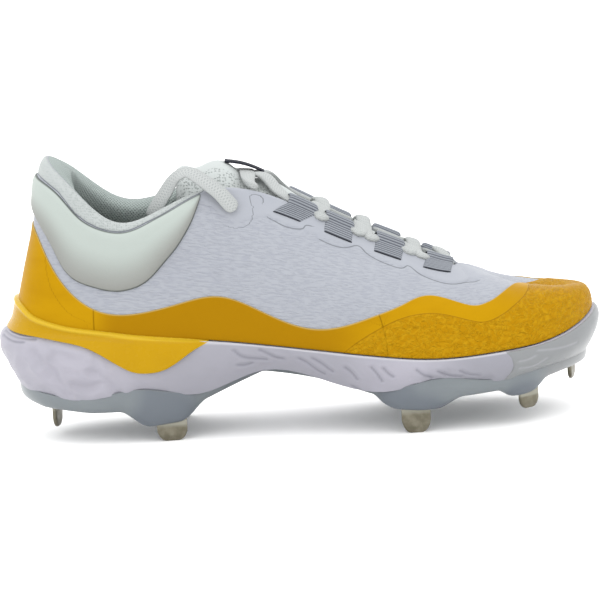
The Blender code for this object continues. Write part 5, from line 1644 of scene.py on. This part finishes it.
def make_loop(name, rows, side, look):
    """A ribbed webbing loop folded over the throat edge."""
    foot, row = rows
    start, end = loop_span(row, side)
    across = np.linspace(-1, 1, 21)
    g = (start + end) / 2 + (end - start) / 2 * LOOP_WIDER * across
    lean = side * (row - foot) / ROWS
    squash = 0.85 if side > 0 else 0.60
    edge, normal, up = loop_frame(g)
    size = np.linalg.norm(edge - base_line(g), axis=-1)
    centre = loop_centre(g) - up * LOOP_RADIUS * (1 - squash)
    faces = []
    for grow in (0.0, LOOP_THICKNESS):
        rows = []
        for leg in np.linspace(1.0, 0.08, 12):
            there = g - lean * leg
            v = 1 - leg * LOOP_OUTER_LEG / size
            rows.append(offset_last(there, v, wall_out(there, v) + 0.0002 + grow * 0.9))
        for angle in np.radians(np.linspace(-20, 205, 16)):
            spoke = normal * math.cos(angle) + up * math.sin(angle) * squash
            rows.append(centre + spoke * (LOOP_RADIUS + grow))
        for leg in np.linspace(0.2, 1.0, 5):
            v = 1 - leg * LOOP_INNER_LEG / size
            rows.append(offset_last(g, v, -wall_in(g, v) - LOOP_GAP - grow))
        faces.append(np.stack(rows, axis=1))
    knots = run_length(faces[1][10])
    fine = np.linspace(0, knots[-1], 140)
    inner, outer = [
        smooth_rows(np.stack([points_at(fine, knots, line) for line in face]), 4) for face in faces
    ]
    wave = 0.5 + 0.5 * np.cos(2 * math.pi * fine / RIB_PITCH)
    full = np.sqrt(np.clip(1 - np.abs(across) ** 8, 0, 1))[:, None]
    ends = round_off(np.minimum(fine, knots[-1] - fine) / 0.0006)
    lift = (0.60 + 0.40 * wave) * full * ends
    outer = inner + (outer - inner) * (0.05 + 0.95 * lift)[..., None]
    # end: 1 at the loop's outer foot, where shade is painted
    # rib: 1 on the ribs and 0 in the grooves, where shade is painted
    values = {"rib": smooth_step(wave, 0.0, 0.55), "end": 1 - smooth_step(fine, 0.0003, 0.0010)}
    mesh = shell(f"{name}_skin", outer, inner, values=values)
    return add_piece(mesh, [look, look], "grey_webbing", name)


def make_loops():
    look = webbing_look()
    for side, word in ((1, "lateral"), (-1, "medial")):
        for number, rows in enumerate(LOOPS_SHOWN, 1):
            make_loop(f"lace_loop_{word}_{number}", rows, side, look)


def sweep(name, route, faces, width, height, power, blunt=0.5, count=28):
    """A closed cord with an oval section along a route. Faces are the section's normals, and width
    and height are arrays along the route."""
    along = unit(np.gradient(route, axis=0))
    up = unit(faces - along * np.sum(faces * along, axis=-1, keepdims=True))
    across = np.cross(along, up)
    x, y = oval(count, 2 / power)
    length = run_length(route)
    taper = round_off(np.minimum(length, length[-1] - length) / (blunt * np.max(width)))
    taper = np.maximum(taper, 0.04)
    width, height = width * taper, height * taper
    points = route + across * (x[:, None] * width / 2)[..., None]
    points = points + up * (y[:, None] * height / 2)[..., None]
    girth = np.linspace(0, 1, count) * (np.max(width) + np.max(height)) * 1.5
    uv = np.stack(np.meshgrid(girth, length, indexing="ij")[::-1], axis=-1).reshape(-1, 2)
    return make_mesh(name, points.reshape(-1, 3), tube_faces(points), uv=uv)


def lace_beside(g, drop):
    """A place of the lace just outside the throat edge, between two loops."""
    v = 1 - drop / np.linalg.norm(top_line(g) - base_line(g))
    return offset_last(g, v, wall_out(g, v) + LACE_HEIGHT * 0.15)


def lace_points(side):
    """The lace's route from the front bar to a top loop, with one strand over the other, and how
    far each point is inside a loop."""
    tops = [top for _, top in LOOPS_SHOWN]
    bar = tops[-1] - 0.04
    start = ((bar, 0.03, 0.0030), (bar + 0.10, -0.30, 0.0024))
    route = [(lace_over(row, s * side, lift), 0.0) for row, s, lift in start]
    for count, row in enumerate(reversed(tops)):
        here = side * (-1) ** count
        near, far = sorted(loop_span(row, here), key=abs)
        ends = [lace_beside(np.array(near + (far - near) * share), 0.0002) for share in (1.26, -0.26)]
        if count > 0:
            route.append((ends[0], 0.4))
        for share in (0.86, 0.5, 0.14):
            centre = loop_centre(np.array(near + (far - near) * share))
            route.append((centre - UP * (0.0004 if here > 0 else 0.0012), 1.0))
        crossings = LACE_TAIL
        if count < len(tops) - 1:
            route.append((ends[1], 0.4))
            middle = (row + tops[-2 - count]) / 2
            over = 0.0012 if (side > 0) == (count % 2 == 0) else -0.0010
            crossings = ((middle + 0.03, -0.34, 0.0), (middle, 0.0, over), (middle - 0.03, 0.34, 0.0))
        for place, s, lift in crossings:
            route.append((lace_over(place, s * here, lift), 0.0))
    return [np.array(column) for column in zip(*route)]


LACE_TAIL = ((7.12, -0.44, 0.0006), (6.96, -0.26, 0.0012), (6.80, -0.06, -0.0004))


def make_laces():
    """Both strands as one lace, flat where it crosses the tongue and puffed between the loops."""
    first, first_in = lace_points(1)
    second, second_in = lace_points(-1)
    points = np.concatenate([first[::-1], second[1:]])
    inside = np.concatenate([first_in[::-1], second_in[1:]])
    length = run_length(points)
    fine = np.linspace(0, length[-1], round(length[-1] / 0.0012))
    route = spline(length, points)(fine)
    pinch = np.interp(fine, length, inside)
    faces = route - np.stack([route[:, 0] * 0.8 - 0.01, route[:, 1] * 0.15, route[:, 2] - 0.06], axis=1)
    width, height = [
        full + (small - full) * pinch
        for full, small in ((LACE_WIDTH, PINCHED_WIDTH), (LACE_HEIGHT, PINCHED_HEIGHT))
    ]
    mesh = sweep("lace_skin", route, unit(faces), width, height, 2.4, blunt=0.3)
    return add_piece(mesh, [lace_look("white_lace")], "white_lace", "lace_crossings")


def make_lace_end():
    """The free end: a flat tape under the strip, round behind the tongue and over the collar."""
    length = run_length(LACE_END_ROUTE)
    fine = np.linspace(0, length[-1], 190)
    route = spline(length, LACE_END_ROUTE)(fine)
    hints = points_at(fine, length, TAPE_FACES)
    start = smooth_step(fine, 0.0, 0.016)
    width = PINCHED_WIDTH + (TAPE_WIDTH - PINCHED_WIDTH) * start
    height = PINCHED_HEIGHT + (TAPE_THICKNESS - PINCHED_HEIGHT) * start
    mesh = sweep("lace_end_skin", route, unit(hints), width, height, 3.5)
    piece = add_piece(mesh, [lace_look("lace_tape")], "white_lace", "lace_end")
    real = float(run_length(route)[-1])
    tuple(route[0])
    [tuple(point) for point in route]
    return piece


# Stage


def area_light(name, place, target, size, power):
    data = bpy.data.lights.new(name, "AREA")
    data.shape = "SQUARE"
    data.size = size
    data.energy = power
    light = bpy.data.objects.new(name, data)
    bpy.context.scene.collection.objects.link(light)
    light.location = place
    light.rotation_euler = (Vector(target) - Vector(place)).to_track_quat("-Z", "Y").to_euler()
    return light


def make_stage():
    scene = bpy.context.scene
    scene.view_settings.view_transform = "Standard"
    world = bpy.data.worlds.new("studio")
    world.use_nodes = True
    background = world.node_tree.nodes["Background"].inputs
    background["Color"].default_value = (1, 1, 1, 1)
    background["Strength"].default_value = WORLD_STRENGTH
    scene.world = world
    for name, place, size, power in LIGHTS:
        area_light(name, place, (0, 0, 0.05), size, power)
    mesh = bpy.data.meshes.new("floor")
    corners = [(x * FLOOR_REACH, y * FLOOR_REACH, 0) for x, y in ((-1, -1), (1, -1), (1, 1), (-1, 1))]
    mesh.from_pydata(corners, [], [(0, 1, 2, 3)])
    floor = bpy.data.objects.new("floor", mesh)
    scene.collection.objects.link(floor)
    look = Look("floor", (0.93, 0.93, 0.93, 1), 0.9, Specular_IOR_Level=0.1)
    mesh.materials.append(look.material)


def make_camera():
    data = bpy.data.cameras.new("camera")
    data.lens = CAMERA_LENS
    data.sensor_width = 36
    camera = bpy.data.objects.new("camera", data)
    bpy.context.scene.collection.objects.link(camera)
    lift, roll = math.radians(CAMERA_ELEVATION), math.radians(CAMERA_ROLL)
    ahead = Vector((0, math.cos(lift), -math.sin(lift)))
    right = Vector((1, 0, 0))
    up = right.cross(ahead)
    across = right * math.cos(roll) - up * math.sin(roll)
    above = right * math.sin(roll) + up * math.cos(roll)
    turn = Matrix((across, above, -ahead)).transposed()
    place = Vector(CAMERA_AIM) - ahead * CAMERA_DISTANCE
    camera.matrix_world = Matrix.Translation(place) @ turn.to_4x4()
    data.clip_start, data.clip_end = 0.01, 100
    bpy.context.scene.camera = camera


make_camera()
make_stage()
make_lace_end()
make_laces()
make_loops()
make_tongue()
make_tongue_tab()
make_upper()
make_gold()
make_ankle_panel()
make_midsole()
make_outsole()
make_spikes()
make_heel_clip()
make_insole()

bpy.context.view_layer.update()
